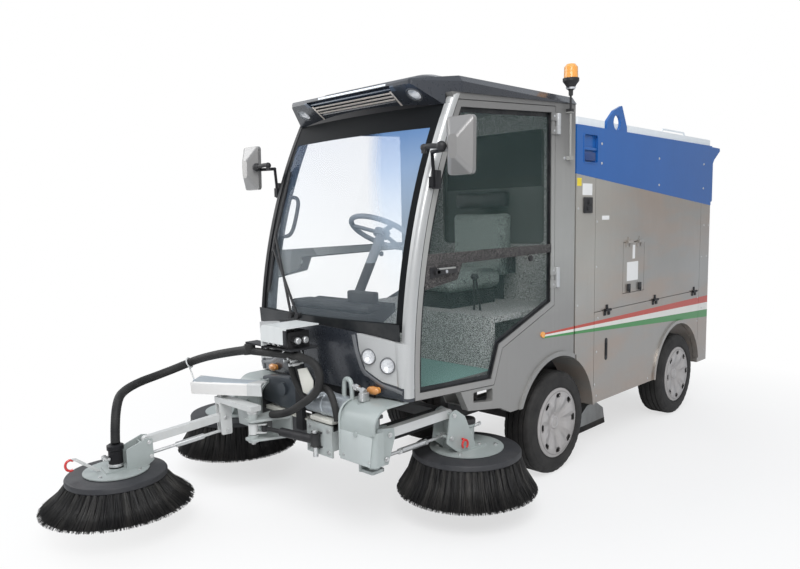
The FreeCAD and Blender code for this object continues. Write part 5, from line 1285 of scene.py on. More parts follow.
# ---- brushes and wheels
@dataclass
class SweepBrush:
    """A rotary brush: moulded block, clamped cover holes and rows of bristle tufts."""

    node: str
    spin: str
    tufts: int
    strands: int = 34
    strand_r: float = 0.0017
    seed: int = 7

    def build(self) -> None:
        """Make the block and the bristles, which stand for the plain solid."""
        low, high = (Vector(c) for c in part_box(self.node))
        centre = joint_place(self.spin) - ZERO
        centre.z = 0
        tip_r = (high.x - low.x) / 2 - 0.001
        block_r = tip_r - (0.084 if "side" in self.node else 0.125)
        top, tip_z = high.z, low.z
        bottom = top - 0.035
        piece = Shape().turned(centre, UP, [(top - 0.02, 0.0155), (top, 0.0155), (top, block_r - 0.03),
            (top - 0.003, block_r - 0.024), (top - 0.003, block_r - 0.012), (top - 0.006, block_r - 0.004),
            (top - 0.012, block_r), (bottom + 0.005, block_r), (bottom, block_r - 0.006), (bottom, 0.06),
            (top - 0.02, 0.06),], 96, closed=True).finish(self.node + "_block", "brush_block", self.node)
        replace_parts(piece, self.node)
        Shape().turned(centre, UP, [(bottom + 0.004, block_r - 0.014),
            ((bottom + tip_z) / 2, (block_r + tip_r) / 2 - 0.03), (tip_z + 0.005, tip_r - 0.02),
            (tip_z + 0.005, tip_r - 0.1), (bottom + 0.004, block_r - 0.08),], 96, closed=True).finish(
            self.node + "_core", "bristle_core", self.node)
        self.bristles(centre, block_r, bottom, tip_r, tip_z)

    def bristles(self, centre: Vector, block_r: float, bottom: float, tip_r: float, tip_z: float) -> None:
        """Rows of tufts, each a fan of thin three-sided strands with its own tone.

        Args:
            centre: the brush's axis, from the machine's zero.
            block_r: the block's radius.
            bottom: height of the block's underside.
            tip_r: radius of the outer tips.
            tip_z: lowest height of the tips.
        """
        dice = random.Random(self.seed)
        verts: list[Vector] = []
        faces: list[tuple[int, ...]] = []
        tones: list[float] = []
        rows = ((block_r - 0.012, tip_r, 1.0), (block_r - 0.04, tip_r - 0.03, 0.7),
            (block_r - 0.085, tip_r - 0.075, 0.45))
        pitch = 2 * pi / self.tufts
        for row, (root, reach, share) in enumerate(rows):
            for tuft in range(self.tufts):
                middle = (tuft + 0.5 * (row % 2)) * pitch
                tuft_tone = dice.uniform(0.15, 0.75)
                lean = dice.uniform(-0.1, 0.1) * pitch
                for _ in range(int(self.strands * share)):
                    spread = dice.uniform(-1.0, 1.0)
                    start = middle + spread * 0.3 * pitch
                    end = middle + lean + spread * 0.56 * pitch + dice.gauss(0, 0.03) * pitch
                    far = min(reach, reach - abs(dice.gauss(0, 0.008)))
                    floor = tip_z + abs(dice.gauss(0, 0.004))
                    root_r = root + dice.uniform(-0.008, 0.008)
                    tone = min(1.0, max(0, tuft_tone + dice.gauss(0, 0.16)))
                    first = len(verts)
                    for down in (0, 0.5, 1.0):
                        angle = start + (end - start) * down
                        radius = root_r + (far - root_r) * down - 0.012 * sin(pi * down)
                        z = bottom + 0.004 + (floor - bottom - 0.004) * down
                        spot = Vector((centre.x + radius * cos(angle), centre.y + radius * sin(angle), z))
                        for k in range(3):
                            turn = angle + k * 2 * pi / 3
                            thick = self.strand_r * (1.0 - 0.35 * down)
                            verts.append(spot + ZERO + Vector((cos(turn), sin(turn), 0)) * thick)
                            tones.append(tone)
                    for low in (first, first + 3):
                        faces += [(low + k, low + (k + 1) % 3, low + 3 + (k + 1) % 3, low + 3 + k) for k
                            in range(3)]
                    faces.append((first + 6, first + 7, first + 8))
        data = bpy.data.meshes.new(self.node + "_bristles")
        data.from_pydata(verts, [], faces)
        data.attributes.new("tone", "FLOAT", "POINT").data.foreach_set("value", tones)
        data.shade_smooth()
        put_in_scene(self.node + "_bristles", data, "bristle", self.node)


@dataclass
class RoadWheel:
    """A tyre with ribbed tread, notched shoulders and plain side walls, and the domed cap of its cover."""

    end: str
    side: str
    steps: int = 144

    def build(self) -> None:
        """Make the tyre, which stands for the plain solid, and the cap."""
        node, body = ("%s_%s_%s" % (kind, self.end, self.side) for kind in ("tyre", "wheel"))
        low, high = (Vector(c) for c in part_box(node))
        middle = (low + high) / 2 - ZERO
        outer, half = (high.z - low.z) / 2, (high.x - low.x) / 2
        shoulder = [(half - inset, r) for inset, r in ((0.022, 0.201), (0.006, 0.208), (0.0045, 0.216),
            (0.0015, 0.218), (0, 0.235), (0.0005, 0.252), (0.004, 0.272), (0.0065, 0.2745), (0.009, 0.29),
            (0.015, 0.2985), (0.025, outer - 0.0025))]
        crown: list[tuple[float, float]] = []
        for centre, wide in ((0.052, 0.0042), (0.019, 0.0048), (-0.019, 0.0048), (-0.052, 0.0042)):
            crown += [(centre + wide, outer), (centre + wide * 0.7, outer - 0.007),
                (centre - wide * 0.7, outer - 0.007), (centre - wide, outer)]
        profile = shoulder + crown + [(-x, r) for x, r in reversed(shoulder)]
        inside = [(-(half - 0.03), 0.208), (half - 0.03, 0.208)]
        tyre = Shape().turned(middle, (1, 0, 0), profile + inside, self.steps, closed=True)
        for vert in tyre.mesh.verts:
            across = abs(vert.co.x - middle.x)
            dy, dz = vert.co.y - middle.y, vert.co.z - middle.z
            radius = hypot(dy, dz)
            column = round(atan2(dz, dy) / (2 * pi) * self.steps) % 4
            if column == 0 and half - 0.03 < across < half - 0.008 and radius > 0.285:
                share = (radius - 0.0035) / radius
                vert.co.y, vert.co.z = middle.y + dy * share, middle.z + dz * share
        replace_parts(tyre.finish("road_" + node, "tyre_rubber", body), node)
        out = 1.0 if self.side == "left" else -1.0
        Shape().turned((middle.x + 0.072 * out, middle.y, middle.z), (out, 0, 0),
            [(-0.02, 0.036), (0, 0.036), (0.002, 0.034), (0.002, 0.03), (0.0005, 0.028), (0.002, 0.02),
            (0.0034, 0.01), (0.0038, 0)], 40).finish("cap_" + body, "cap_silver", body)


# ---- cab
def visor_y(z: float) -> float:
    """Y of the visor's leaning face at a height."""
    return -1.1 + (2.15 - z) * 140.0 / 98.0


@dataclass
class RoundLamps:
    """Headlamps in the corner panels and work lamps in the roof: bowls, rings, bulbs and domed lenses."""

    head_places: tuple = ((0.375, 0.878), (0.483, 0.846))
    head_r: float = 0.0345
    roof_x: float = 0.422
    roof_z: float = 2.1
    roof_r: float = 0.04

    def openings(self) -> list[tuple[Vector, Vector, float]]:
        """Centre, inward direction and radius of every lamp on the left side."""
        found = []
        for x, z in self.head_places:
            face_y = -1.347 + 0.052 * (x / 0.523) ** 2
            turn = Matrix.Rotation(radians(9.0 + x / 0.04), 3, "Z")
            inwards = (turn @ Vector((0, 1.0, -0.07))).normalized()
            found.append((Vector((x, face_y, z)) + inwards * 0.002, inwards, self.head_r))
        lean = Vector((0, 0.098, 0.14)).normalized()
        found.append((Vector((self.roof_x, visor_y(self.roof_z), self.roof_z)) + lean * 0.002, lean,
            self.roof_r))
        return found

    def build(self) -> None:
        """Make the lamps, which stand for the plain lens solids."""
        parts = (("lamp_bowls", "lamp_bowl", False, ((0.001, 0.95), (0.006, 0.9), (0.014, 0.7),
            (0.021, 0.38), (0.024, 0.16), (0.013, 0.15), (0.011, 0))),
            ("lamp_rings", "lamp_ring", True, ((0.004, 1.13), (-0.0015, 1.13), (-0.003, 1.09), (-0.003, 1.0),
            (0.002, 0.95))), ("lamp_lenses", "lamp_glass", False, ((0.002, 0.93), (-0.0015, 0.89),
            (-0.004, 0.6), (-0.005, 0.3), (-0.0052, 0))))
        for name, finish, closed, profile in parts:
            shape = Shape()
            for face, inwards, r in self.openings():
                shape.turned(face, inwards, [(along, share * r) for along, share in profile], 40, closed)
            piece = shape.mirrored().finish(name, finish)
            if name == "lamp_bowls":
                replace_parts(piece, "lamps")


@dataclass
class VisorGrille:
    """Champagne slats and frame in the visor's leaning face."""

    slats: int = 6
    low_z: float = 2.057
    pitch: float = 0.0122
    half: float = 0.29

    def build(self) -> None:
        """Make the slats."""
        shape = Shape()
        for i in range(self.slats):
            z = self.low_z + self.pitch * i
            shape.side_plate(-self.half, [(visor_y(z) + dy, z + dz) for dy, dz
                in ((0.0012, 0), (-0.0075, 0.0062), (-0.0045, 0.008), (0.012, 0.003))], 2 * self.half, 0.0006)
        edges = [(x, visor_y(z) - 0.001, z) for x, z in ((0.292, 2.056), (0.304, 2.056), (0.304, 2.127),
            (0.292, 2.127))]
        for side in SIDES:
            shape.plate([(side * x, y, z) for x, y, z in edges], (0, 0.004, 0.003), 0.0008)
        shape.finish("visor_slats", "champagne")


@dataclass
class DoorTrim:
    """Black band and rubber beads round a door glass, rail covering, handle and knob."""

    side: str
    front_low: tuple = (-1.226, 0.684)
    front_mid: tuple = (-1.172, 1.3)
    front_top: tuple = (-0.898, 2.072)
    corners: tuple = ((-0.055, 2.124), (-0.053, 1.011), (-0.554, 0.833), (-0.628, 0.651))

    def arc(self, share: float) -> Vector:
        """A point on the bowed front edge, 0 at its foot and 1 at its top."""
        (y1, z1), (y2, z2), (y3, z3) = self.front_low, self.front_mid, self.front_top
        d = 2 * (y1 * (z2 - z3) + y2 * (z3 - z1) + y3 * (z1 - z2))
        s1, s2, s3 = y1 * y1 + z1 * z1, y2 * y2 + z2 * z2, y3 * y3 + z3 * z3
        cy = (s1 * (z2 - z3) + s2 * (z3 - z1) + s3 * (z1 - z2)) / d
        cz = (s1 * (y3 - y2) + s2 * (y1 - y3) + s3 * (y2 - y1)) / d
        z = z1 + (z3 - z1) * share
        return Vector((0, cy - sqrt((y1 - cy) ** 2 + (z1 - cz) ** 2 - (z - cz) ** 2), z))

    def outline(self, inset: float) -> list[Vector]:
        """The door's outline moved inwards, as points at x = 0 in order."""
        raw = [self.arc(i / 14.0) for i in range(15)] + [Vector((0, y, z)) for y, z in self.corners]
        moved = []
        for i, point in enumerate(raw):
            before = (point - raw[i - 1]).normalized()
            after = (raw[(i + 1) % len(raw)] - point).normalized()
            n1, n2 = Vector((0, before.z, -before.y)), Vector((0, after.z, -after.y))
            inwards = (n1 + n2).normalized()
            moved.append(point + inwards * inset / max(0.35, inwards.dot(n1)))
        return moved

    def ring(self, shape: Shape, outer: float, inner: float, x: float, thick: float) -> None:
        """A flat ring that follows the outline between two insets."""
        section = ((outer, 0), (outer, thick), (inner, thick), (inner, 0))
        lines = [[p + Vector((x + dx, 0, 0)) for p in self.outline(inset)] for inset, dx in section]
        loop_frame(shape, lines)

    def build(self) -> None:
        """Make the trim."""
        body, flip = "door_" + self.side, other_side(self.side)
        band, bead = Shape(), Shape()
        self.ring(band, 0.031, 0.056, 0.569, 0.0012)
        self.ring(bead, 0.0295, 0.0345, 0.57, 0.009)
        self.ring(bead, -0.0015, 0.0015, 0.582, 0.0026)
        rail = Shape().side_plate(0.5815, [(-1.15, 1.188), (-0.915, 1.222), (-0.88, 1.298), (-0.086, 1.316),
            (-0.086, 1.362), (-1.128, 1.352)], 0.0035, 0.001)
        grip = Shape().side_plate(FLANK + 0.0005, [(-1.118, 1.238), (-0.93, 1.262), (-0.93, 1.286),
            (-1.118, 1.292)], 0.0045, 0.002)
        grip.block((0.588, -1.094, 1.2565), (0.6065, -0.938, 1.279), 0.004, 3)
        grip.turned((0.5855, -1.075, 1.268), (1, 0, 0), [(0, 0.015), (0.018, 0.0145), (0.021, 0.011),
            (0.021, 0)], 28)
        grip.turned((0.58, -0.293, 1.291), (1, 0, 0), [(0, 0.017), (0.01, 0.0165), (0.013, 0.012),
            (0.0135, 0)], 28)
        lock = Shape().turned((0.606, -1.02, 1.268), (1, 0, 0), [(0, 0.0085), (0.002, 0.008), (0.0026, 0)],
            24)
        covers = Shape()
        for z in (1.17, 2.031):
            covers.block((0.5855, -0.047, z - 0.058), (0.604, -0.021, z + 0.058), 0.004, 3)
            covers.studs([(0.59, -0.068, z - 0.04), (0.59, -0.068, z + 0.04)], (1, 0, 0), 0.006)
        for shape, name, finish in ((band, "door_band_", "frit"), (bead, "door_bead_", "black_moulded"),
                (rail, "door_rail_", "felt_dark"), (grip, "door_grip_", "black_moulded"),
                (lock, "door_lock_", "chrome"), (covers, "door_hinge_covers_", "fitting_silver")):
            shape.finish(name + self.side, finish, body, flip)


def loop_frame(shape: Shape, lines: Sequence[Sequence[Point]]) -> None:
    """Add a frame whose section's corners run along closed lines.

    Args:
        shape: the shape that gets it.
        lines: one closed line of points for each corner of the section, in order.
    """
    verts = [[shape.mesh.verts.new(p) for p in line] for line in lines]
    for one, two in zip(verts, verts[1:] + verts[:1]):
        for i in range(len(one)):
            j = (i + 1) % len(one)
            shape.mesh.faces.new((one[i], one[j], two[j], two[i]))


@dataclass
class CabTrim:
    """Seals, header, handles, mirror faces and other small parts of the cab."""

    def build(self) -> None:
        """Make the trim."""
        pipe("pillar_grab", [(-0.528, -1.075, 1.64), (-0.52, -1.06, 1.655), (-0.47, -1.045, 1.64),
            (-0.462, -1.075, 1.54), (-0.47, -1.105, 1.44), (-0.52, -1.125, 1.425), (-0.528, -1.13, 1.44)],
            0.011, "black_moulded")
        lining = Shape()
        for i in range(14):
            z0, z1 = 1.02 + i * 0.075, 1.02 + (i + 1) * 0.075
            y0, y1 = self.pillar(z0), self.pillar(z1)
            lining.side_plate(0.541, [(y0 - 0.005, z0), (y0 - 0.036, z0), (y1 - 0.036, z1),
                (y1 - 0.005, z1)], 0.0025)
        lining.mirrored().finish("pillar_linings", "black_moulded")
        pole = Shape().turned((0.606, 0.074, 2.23), UP, [(0, 0.0235), (0.005, 0.025), (0.01, 0.029)], 28)
        pole.rod((FLANK, 0.074, 1.847), (0.6, 0.074, 1.847), 0.01)
        pole.bolts([(FLANK, 0.05, 1.847), (FLANK, 0.098, 1.847)], (1, 0, 0), 0.008)
        pole.finish("beacon_bracket", "chrome")
        Shape().turned((0.606, 0.074, 2.291), UP, [(0, 0.02), (0.03, 0.016), (0.042, 0.006), (0.044, 0)],
            24).finish("beacon_reflector", "chrome")
        for side, name in zip(SIDES, ("right", "left")):
            pipe("mirror_arm_" + name, [(side * 0.596, -1.158, 1.806), (side * 0.598, -1.16, 1.834),
                (side * 0.63, -1.162, 1.836), (side * 0.674, -1.163, 1.832), (side * 0.722, -1.164, 1.826)],
                0.012, "black_moulded")
        clamp_y = self.pillar(1.675)
        clamp = Shape().ball((0.706, -1.164, 1.828), 0.024).ball((0.598, -1.159, 1.832), 0.017)
        clamp.block((0.586, clamp_y - 0.032, 1.65), (0.62, clamp_y + 0.006, 1.735), 0.006, 3)
        clamp.mirrored().finish("mirror_clamps", "black_moulded")
        Shape().front_plate(-1.1215, [(0.728, 1.712), (0.856, 1.712), (0.861, 1.942), (0.723, 1.942)],
            0.0008).mirrored().finish("mirror_faces", "chrome")

    @staticmethod
    def pillar(z: float) -> float:
        """Y of the pillar's rear edge at a height."""
        return DoorTrim("left").arc((z - 0.684) / 1.388).y


@dataclass
class CabInside:
    """Dashboard details, levers and an arm rest seen through the glass."""

    def build(self) -> None:
        """Make the details."""
        dash = Shape().block((-0.3, -1.25, 1.064), (0.3, -1.12, 1.102), 0.012, 3)
        dash.block((0.06, -1.17, 1.095), (0.26, -1.13, 1.16), 0.01, 3)
        for x in (-0.22, -0.15, -0.08):
            dash.turned((x, -1.118, 1.08), (0, 1, 0), [(0, 0.016), (0.006, 0.015), (0.008, 0.01),
                (0.008, 0)], 24)
        dash.finish("dash_top", "interior_moulded")
        Shape().front_plate(-1.1298, [(0.075, 1.104), (0.245, 1.104), (0.245, 1.15), (0.075, 1.15)],
            0.0012).finish("dash_glass", "dark_glass")
        levers = Shape()
        for x, lean in ((0.3, 0.02), (0.345, -0.01)):
            levers.rod((x, -0.43, 1.000), (x + lean, -0.455, 1.18), 0.006).ball(
                (x + lean, -0.457, 1.19), 0.017)
        levers.finish("levers", "black_moulded")
        arm = Shape().block((0.245, -0.33, 1.285), (0.3, -0.01, 1.335), 0.018, 4)
        arm.block((0.25, -0.05, 1.18), (0.29, -0.005, 1.31), 0.01, 3)
        arm.finish("arm_rest", "interior_moulded")


@dataclass
class SeatPads:
    """Seat cushion, backrest and head restraint, each stuffed and covered in cloth."""

    fill: float = 0.75
    frames: int = 20

    def pad(self, name: str, low: Point, high: Point, crown: float, finish: str = "seat_cloth") -> Object:
        """A crowned pad: a rounded block swollen from inside.

        Args:
            name: the piece's name.
            low: lowest corner from the machine's zero.
            high: highest corner.
            crown: how far the block is drawn in before it swells, and the most that a point may move.
            finish: the finish's name.

        Returns:
            The piece.
        """
        low, high, draw = Vector(low), Vector(high), Vector((crown,) * 3)
        shape = Shape().block(low + draw, high - draw, min(high - low) * 0.28, 4)
        piece = shape.finish(name, finish, sharp=180.0)
        remesh = piece.modifiers.new("even", "REMESH")
        remesh.mode = "VOXEL"
        remesh.voxel_size = 0.006
        self.apply(piece)
        self.swell(piece, crown)
        rounder = piece.modifiers.new("fine", "SUBSURF")
        rounder.levels = rounder.render_levels = 1
        self.apply(piece)
        piece.data.shade_smooth()
        return piece

    @staticmethod
    def apply(piece: Object) -> None:
        """Fix the modifiers of a piece into its mesh."""
        graph = bpy.context.evaluated_depsgraph_get()
        graph.update()
        solid = bpy.data.meshes.new_from_object(piece.evaluated_get(graph))
        piece.modifiers.clear()
        piece.data = solid

    def swell(self, piece: Object, cap: float) -> None:
        """Blow the pad up a little with cloth that has air inside, and limit how far it goes."""
        start = [v.co.copy() for v in piece.data.vertices]
        cloth = piece.modifiers.new("air", "CLOTH")
        cloth.settings.use_pressure = True
        cloth.settings.uniform_pressure_force = 4.0
        cloth.settings.effector_weights.gravity = 0
        cloth.settings.quality = 5
        cloth.point_cache.frame_start, cloth.point_cache.frame_end = 1, self.frames
        for step in range(1, self.frames + 1):
            bpy.context.scene.frame_set(step)
        self.apply(piece)
        bpy.context.scene.frame_set(1)
        for vert, was in zip(piece.data.vertices, start):
            move = vert.co - was
            if move.length > cap:
                vert.co = was + move.normalized() * cap

    def build(self) -> None:
        """Make the pads, which stand for the plain seat solids."""
        base = self.pad("seat_cushion", (-0.233, -0.538, 1.092), (0.233, -0.032, 1.212), 0.012)
        self.pad("seat_back", (-0.226, -0.02, 1.14), (0.226, 0.088, 1.56), 0.011)
        self.pad("head_restraint", (-0.205, -0.005, 1.566), (0.205, 0.082, 1.688), 0.009, "seat_vinyl")
        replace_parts(base, "seat")
        seams = Shape()
        for x in (-0.13, 0.13):
            line = [(x, -0.515 + 0.02 * i, 1.2125 - 0.0016 * abs(12 - i)) for i in range(24)]
            section = ((-0.003, 0, -0.004), (-0.003, 0, 0), (0.003, 0, 0), (0.003, 0, -0.004))
            seams.band([[Vector(p) + Vector(o) for o in section] for p in line], True, True)
        seams.finish("seat_piping", "black_moulded")


# ---- body side fittings
@dataclass
class SideFittings:
    """Screws, latches, blank labels and handles on one flank of the body and hopper."""

    side: str

    def build(self) -> None:
        """Make the fittings."""
        x, side, flip = FLANK, self.side, other_side(self.side)
        for name, body, radius, spots in (("body", "chassis", 0.0072,
                ((0.455, 0.877), (0.442, 0.663), (0.42, 0.457), (0.43, 1.2), (0.43, 1.48), (2.126, 0.769),
                (2.133, 1.428), (2.228, 1.426), (2.097, 1.18), (2.205, 1.18), (2.205, 0.42), (0.205, 1.56),
                (0.205, 0.98))), ("skirt", "skirt_" + side, 0.0068, (
                (2.046, 0.671), (2.046, 0.86), (0.445, 0.38), (1.18, 0.362))),
                ("hopper", "hopper", 0.0085, ((0.479, 1.955), (0.48, 1.837), (1.295, 1.905), (1.3, 1.723),
                (2.097, 1.901), (2.097, 1.715))),):
            screws = Shape().studs([(x, y, z) for y, z in spots], (1, 0, 0), radius)
            screws.finish(name + "_screws_" + side, "bright_steel", body, flip)
        latch = Shape().side_plate(x - 0.001, self.capsule(0.5665, 0.664, 0.0165, 0.072), 0.0035, 0.001)
        latch.block((x + 0.002, 0.559, 0.622), (x + 0.008, 0.574, 0.706), 0.003, 3)
        latch.finish("skirt_latch_" + side, "black_moulded", "skirt_" + side, flip)
        bezel = Shape()
        inner, outer = self.rounded(0.08, 0.082, 0.016), self.rounded(0.087, 0.089, 0.02)
        loop_frame(bezel, [[(px, y, z) for y, z in line] for line, px
            in ((outer, x - 0.002), (outer, x + 0.003), (inner, x + 0.003), (inner, x - 0.002))])
        bezel.block((x - 0.0155, 0.272, 1.908), (x - 0.002, 0.42, 1.925), 0.004, 3)
        bezel.finish("hopper_pocket_" + side, "blue_paint", "hopper", flip)
        grip = Shape().block((x - 0.013, 0.285, 1.846), (x - 0.001, 0.407, 1.898), 0.005, 3)
        grip.finish("hopper_grip_" + side, "blue_deep", "hopper", flip)
        if side == "left":
            self.left_only(x)

    def left_only(self, x: float) -> None:
        """Latches, switch plate and blank labels that only the left flank has."""
        catches = Shape()
        for y in (0.855, 1.015):
            catches.block((x + 0.002, y - 0.02, 1.01), (x + 0.012, y + 0.02, 1.062), 0.004, 3)
            catches.block((x + 0.009, y - 0.008, 1.002), (x + 0.017, y + 0.008, 1.03), 0.003)
        catches.finish("hatch_catches", "black_moulded", "service_hatch")
        switch = Shape().block((x - 0.001, 0.262, 1.532), (x + 0.01, 0.362, 1.628), 0.005, 3)
        switch.turned((x + 0.01, 0.312, 1.6), (1, 0, 0), [(0, 0.016), (0.006, 0.015), (0.009, 0.01),
            (0.009, 0)], 28)
        switch.block((x + 0.009, 0.292, 1.548), (x + 0.016, 0.332, 1.572), 0.003)
        switch.finish("switch_plate", "black_moulded")
        for name, finish, body, y0, y1, z0, z1 in (("label_white", "label_white", "chassis", 0.253, 0.367,
                1.64, 1.709), ("label_yellow", "label_yellow", "chassis", 0.19, 0.24, 1.693, 1.74),
                ("label_small", "label_white", "chassis", 0.492, 0.585, 1.49, 1.516),
                ("label_tall", "label_white", "service_hatch", 0.915, 0.95, 1.226, 1.318),
                ("label_square", "label_white", "service_hatch", 0.838, 0.998, 1.08, 1.206),):
            Shape().block((x - 0.0006, y0, z0), (x + 0.0008, y1, z1), 0.0004, 1).finish(name, finish, body)

    @staticmethod
    def capsule(y: float, z: float, half: float, reach: float) -> list[tuple[float, float]]:
        """An upright slot's outline about (y, z): half its width, and half its height."""
        points = []
        for middle, first in ((z + reach - half, 0), (z - reach + half, pi)):
            angles = [first + pi * i / 8 for i in range(9)]
            points += [(y + half * cos(a), middle + half * sin(a)) for a in angles]
        return points

    @staticmethod
    def rounded(half_y: float, half_z: float, r: float, y: float = 0.346, z: float = 1.918) -> list[tuple]:
        """A rounded rectangle's outline about (y, z)."""
        points = []
        for sy, sz, first in ((1, 1, 0), (-1, 1, 90), (-1, -1, 180), (1, -1, 270)):
            cy, cz = y + sy * (half_y - r), z + sz * (half_z - r)
            angles = [radians(first + 18 * i) for i in range(6)]
            points += [(cy + r * cos(a), cz + r * sin(a)) for a in angles]
        return points


@dataclass
class RearAndTop:
    """Tail lamp frames, blank number plate, louvre frame, cover bolts and gate handle at the rear and top."""

    wall_y: float = 2.2495
    louvre_y: float = 2.249
    lip_y: float = 2.255

    def build(self) -> None:
        """Make the fittings."""
        tail, louvres = Shape(), Shape()
        for z0, z1 in ((0.628, 0.641), (0.899, 0.912)):
            tail.block((0.462, self.wall_y, z0), (0.568, 2.27, z1), 0.003)
        for x0, x1 in ((0.461, 0.4695), (0.5605, 0.569)):
            tail.block((x0, self.wall_y, 0.63), (x1, 2.27, 0.91), 0.003)
        tail.mirrored().finish("tail_frames", "black_moulded")
        Shape().block((-0.26, self.wall_y, 0.56), (0.26, 2.2525, 0.672), 0.001).finish(
            "number_plate", "label_white")
        for z0, z1 in ((0.988, 1.002), (1.404, 1.418)):
            louvres.block((-0.4, self.louvre_y, z0), (0.4, self.lip_y, z1), 0.002)
        for x0, x1 in ((-0.4, -0.386), (0.386, 0.4)):
            louvres.block((x0, self.louvre_y, 1.001), (x1, self.lip_y, 1.405), 0.002)
        louvres.finish("louvre_frame", "black_moulded")
        heads = Shape().studs([(x, y, 2.096) for x in (-0.53, -0.2, 0.2, 0.53) for y in (0.23, 2.2)], UP,
            0.0075)
        heads.studs([(x, y, 2.13) for x in (-0.3, 0.3) for y in (0.96, 2.0)], UP, 0.0065)
        heads.finish("cover_screws", "bright_steel", "hopper")
        seal = Shape().block((-0.566, 0.183, 2.0495), (0.566, 0.193, 2.06), 0.002)
        seal.finish("cover_seal", "black_moulded", "hopper")
        gate = Shape().studs([(x, 2.2843, 1.66) for x in (-0.54, -0.27, 0, 0.27, 0.54)], (0, 1, 0), 0.008)
        gate.finish("gate_screws", "bright_steel", "tailgate")
        bar = Shape().rod((-0.11, 2.302, 1.72), (0.11, 2.302, 1.72), 0.009)
        for x in (-0.11, 0.11):
            bar.rod((x, 2.284, 1.72), (x, 2.302, 1.72), 0.009).ball((x, 2.302, 1.72), 0.009)
        bar.finish("gate_handle", "black_moulded", "tailgate")


# ---- brush gear
@dataclass
class SideHead:
    """Details of a side brush head and its arm: bolts, motor ports, lifting hook and quadrant."""

    side: str
    heading: float
    reach: float = 0.581

    def build(self) -> None:
        """Make the details."""
        place = heading_place("side_spin_" + self.side, self.reach, self.heading)
        metal = Shape().bolt_ring(self.reach, 0.15, 0.353, (35.0, 145.0, 215.0, 325.0), 0.0085)
        metal.bolts([(x, y, 0.36) for y in (-0.042, 0.042) for x in (0.632, 0.5)], UP, 0.0075)
        metal.pins(((0.447, 0.546), (0.427, 0.434)), 0.06, 0.0095)
        for y in (-0.016, 0.016):
            metal.rod((0.615, y, 0.45), (0.65, y * 1.6, 0.462), 0.0075)
            metal.nut((0.64, y * 1.5, 0.4585), (0.654, y * 1.7, 0.4635), 0.0105)
        cap = Shape().turned((self.reach, 0, 0.4945), UP, [(-0.022, 0.0468), (-0.004, 0.0475),
            (0.0025, 0.044), (0.0045, 0.03), (0.0035, 0.028), (0.0035, 0)], 36)
        fan = Shape().front_plate(0, [(0.452, 0.372)] + arc_points(0.452, 0.372, 0.135, 0.135,
            range(0, 91, 10)), 0.005, 0.0008)
        curve = arc_points(0.5, 0.395, 0.018, 0.022, range(-60, 221, 20))
        hook = Shape().wire([(x, -0.079, z) for x, z in curve], 0.0055)
        hook.rod((0.5, -0.058, 0.417), (0.5, -0.084, 0.417), 0.006)
        pins = Shape().pins(((0.07, 0.52), (0.05, 0.408)), 0.036, 0.0095)
        pins.turned((0, 0, 0.601), UP, [(0, 0.03), (0.004, 0.03), (0.007, 0.026), (0.007, 0.0195)], 28)
        nuts = Shape()
        for share in (0.27, 0.69):
            x, z = 0.05 + 0.377 * share, 0.408 + 0.026 * share
            nuts.nut((x - 0.007, 0, z - 0.0005), (x + 0.007, 0, z + 0.0005), 0.0155)
        for shape, name, finish, body, where in ((metal, "head_bolts_", "bright_steel", "side_head_", place),
                (cap, "head_cap_", "black_moulded", "side_head_", place),
                (fan, "head_quadrant_", "pale_paint", "side_head_", place
                @ Matrix.Translation((0, -0.049, 0))), (hook, "head_hook_", "hook_red", "side_head_", place),
                (pins, "bracket_pins_", "bright_steel", "side_bracket_", place),
                (nuts, "rod_nuts_", "bright_steel", "side_rod_", place),):
            shape.finish(name + self.side, finish, body + self.side, where)


def arc_points(x: float, z: float, wide: float, high: float, degrees: Iterable[int]) -> list[
        tuple[float, float]]:
    """Points on an ellipse about (x, z), given half its width and half its height."""
    return [(x + wide * cos(radians(a)), z + high * sin(radians(a))) for a in degrees]


def nose_y(x: float, z: float) -> float:
    """Y of the nose's outer face at a point, in metres."""
    return -1.3303 - 0.054 * (z - 0.72) + 0.1956 * min(abs(x), 0.512) ** 2


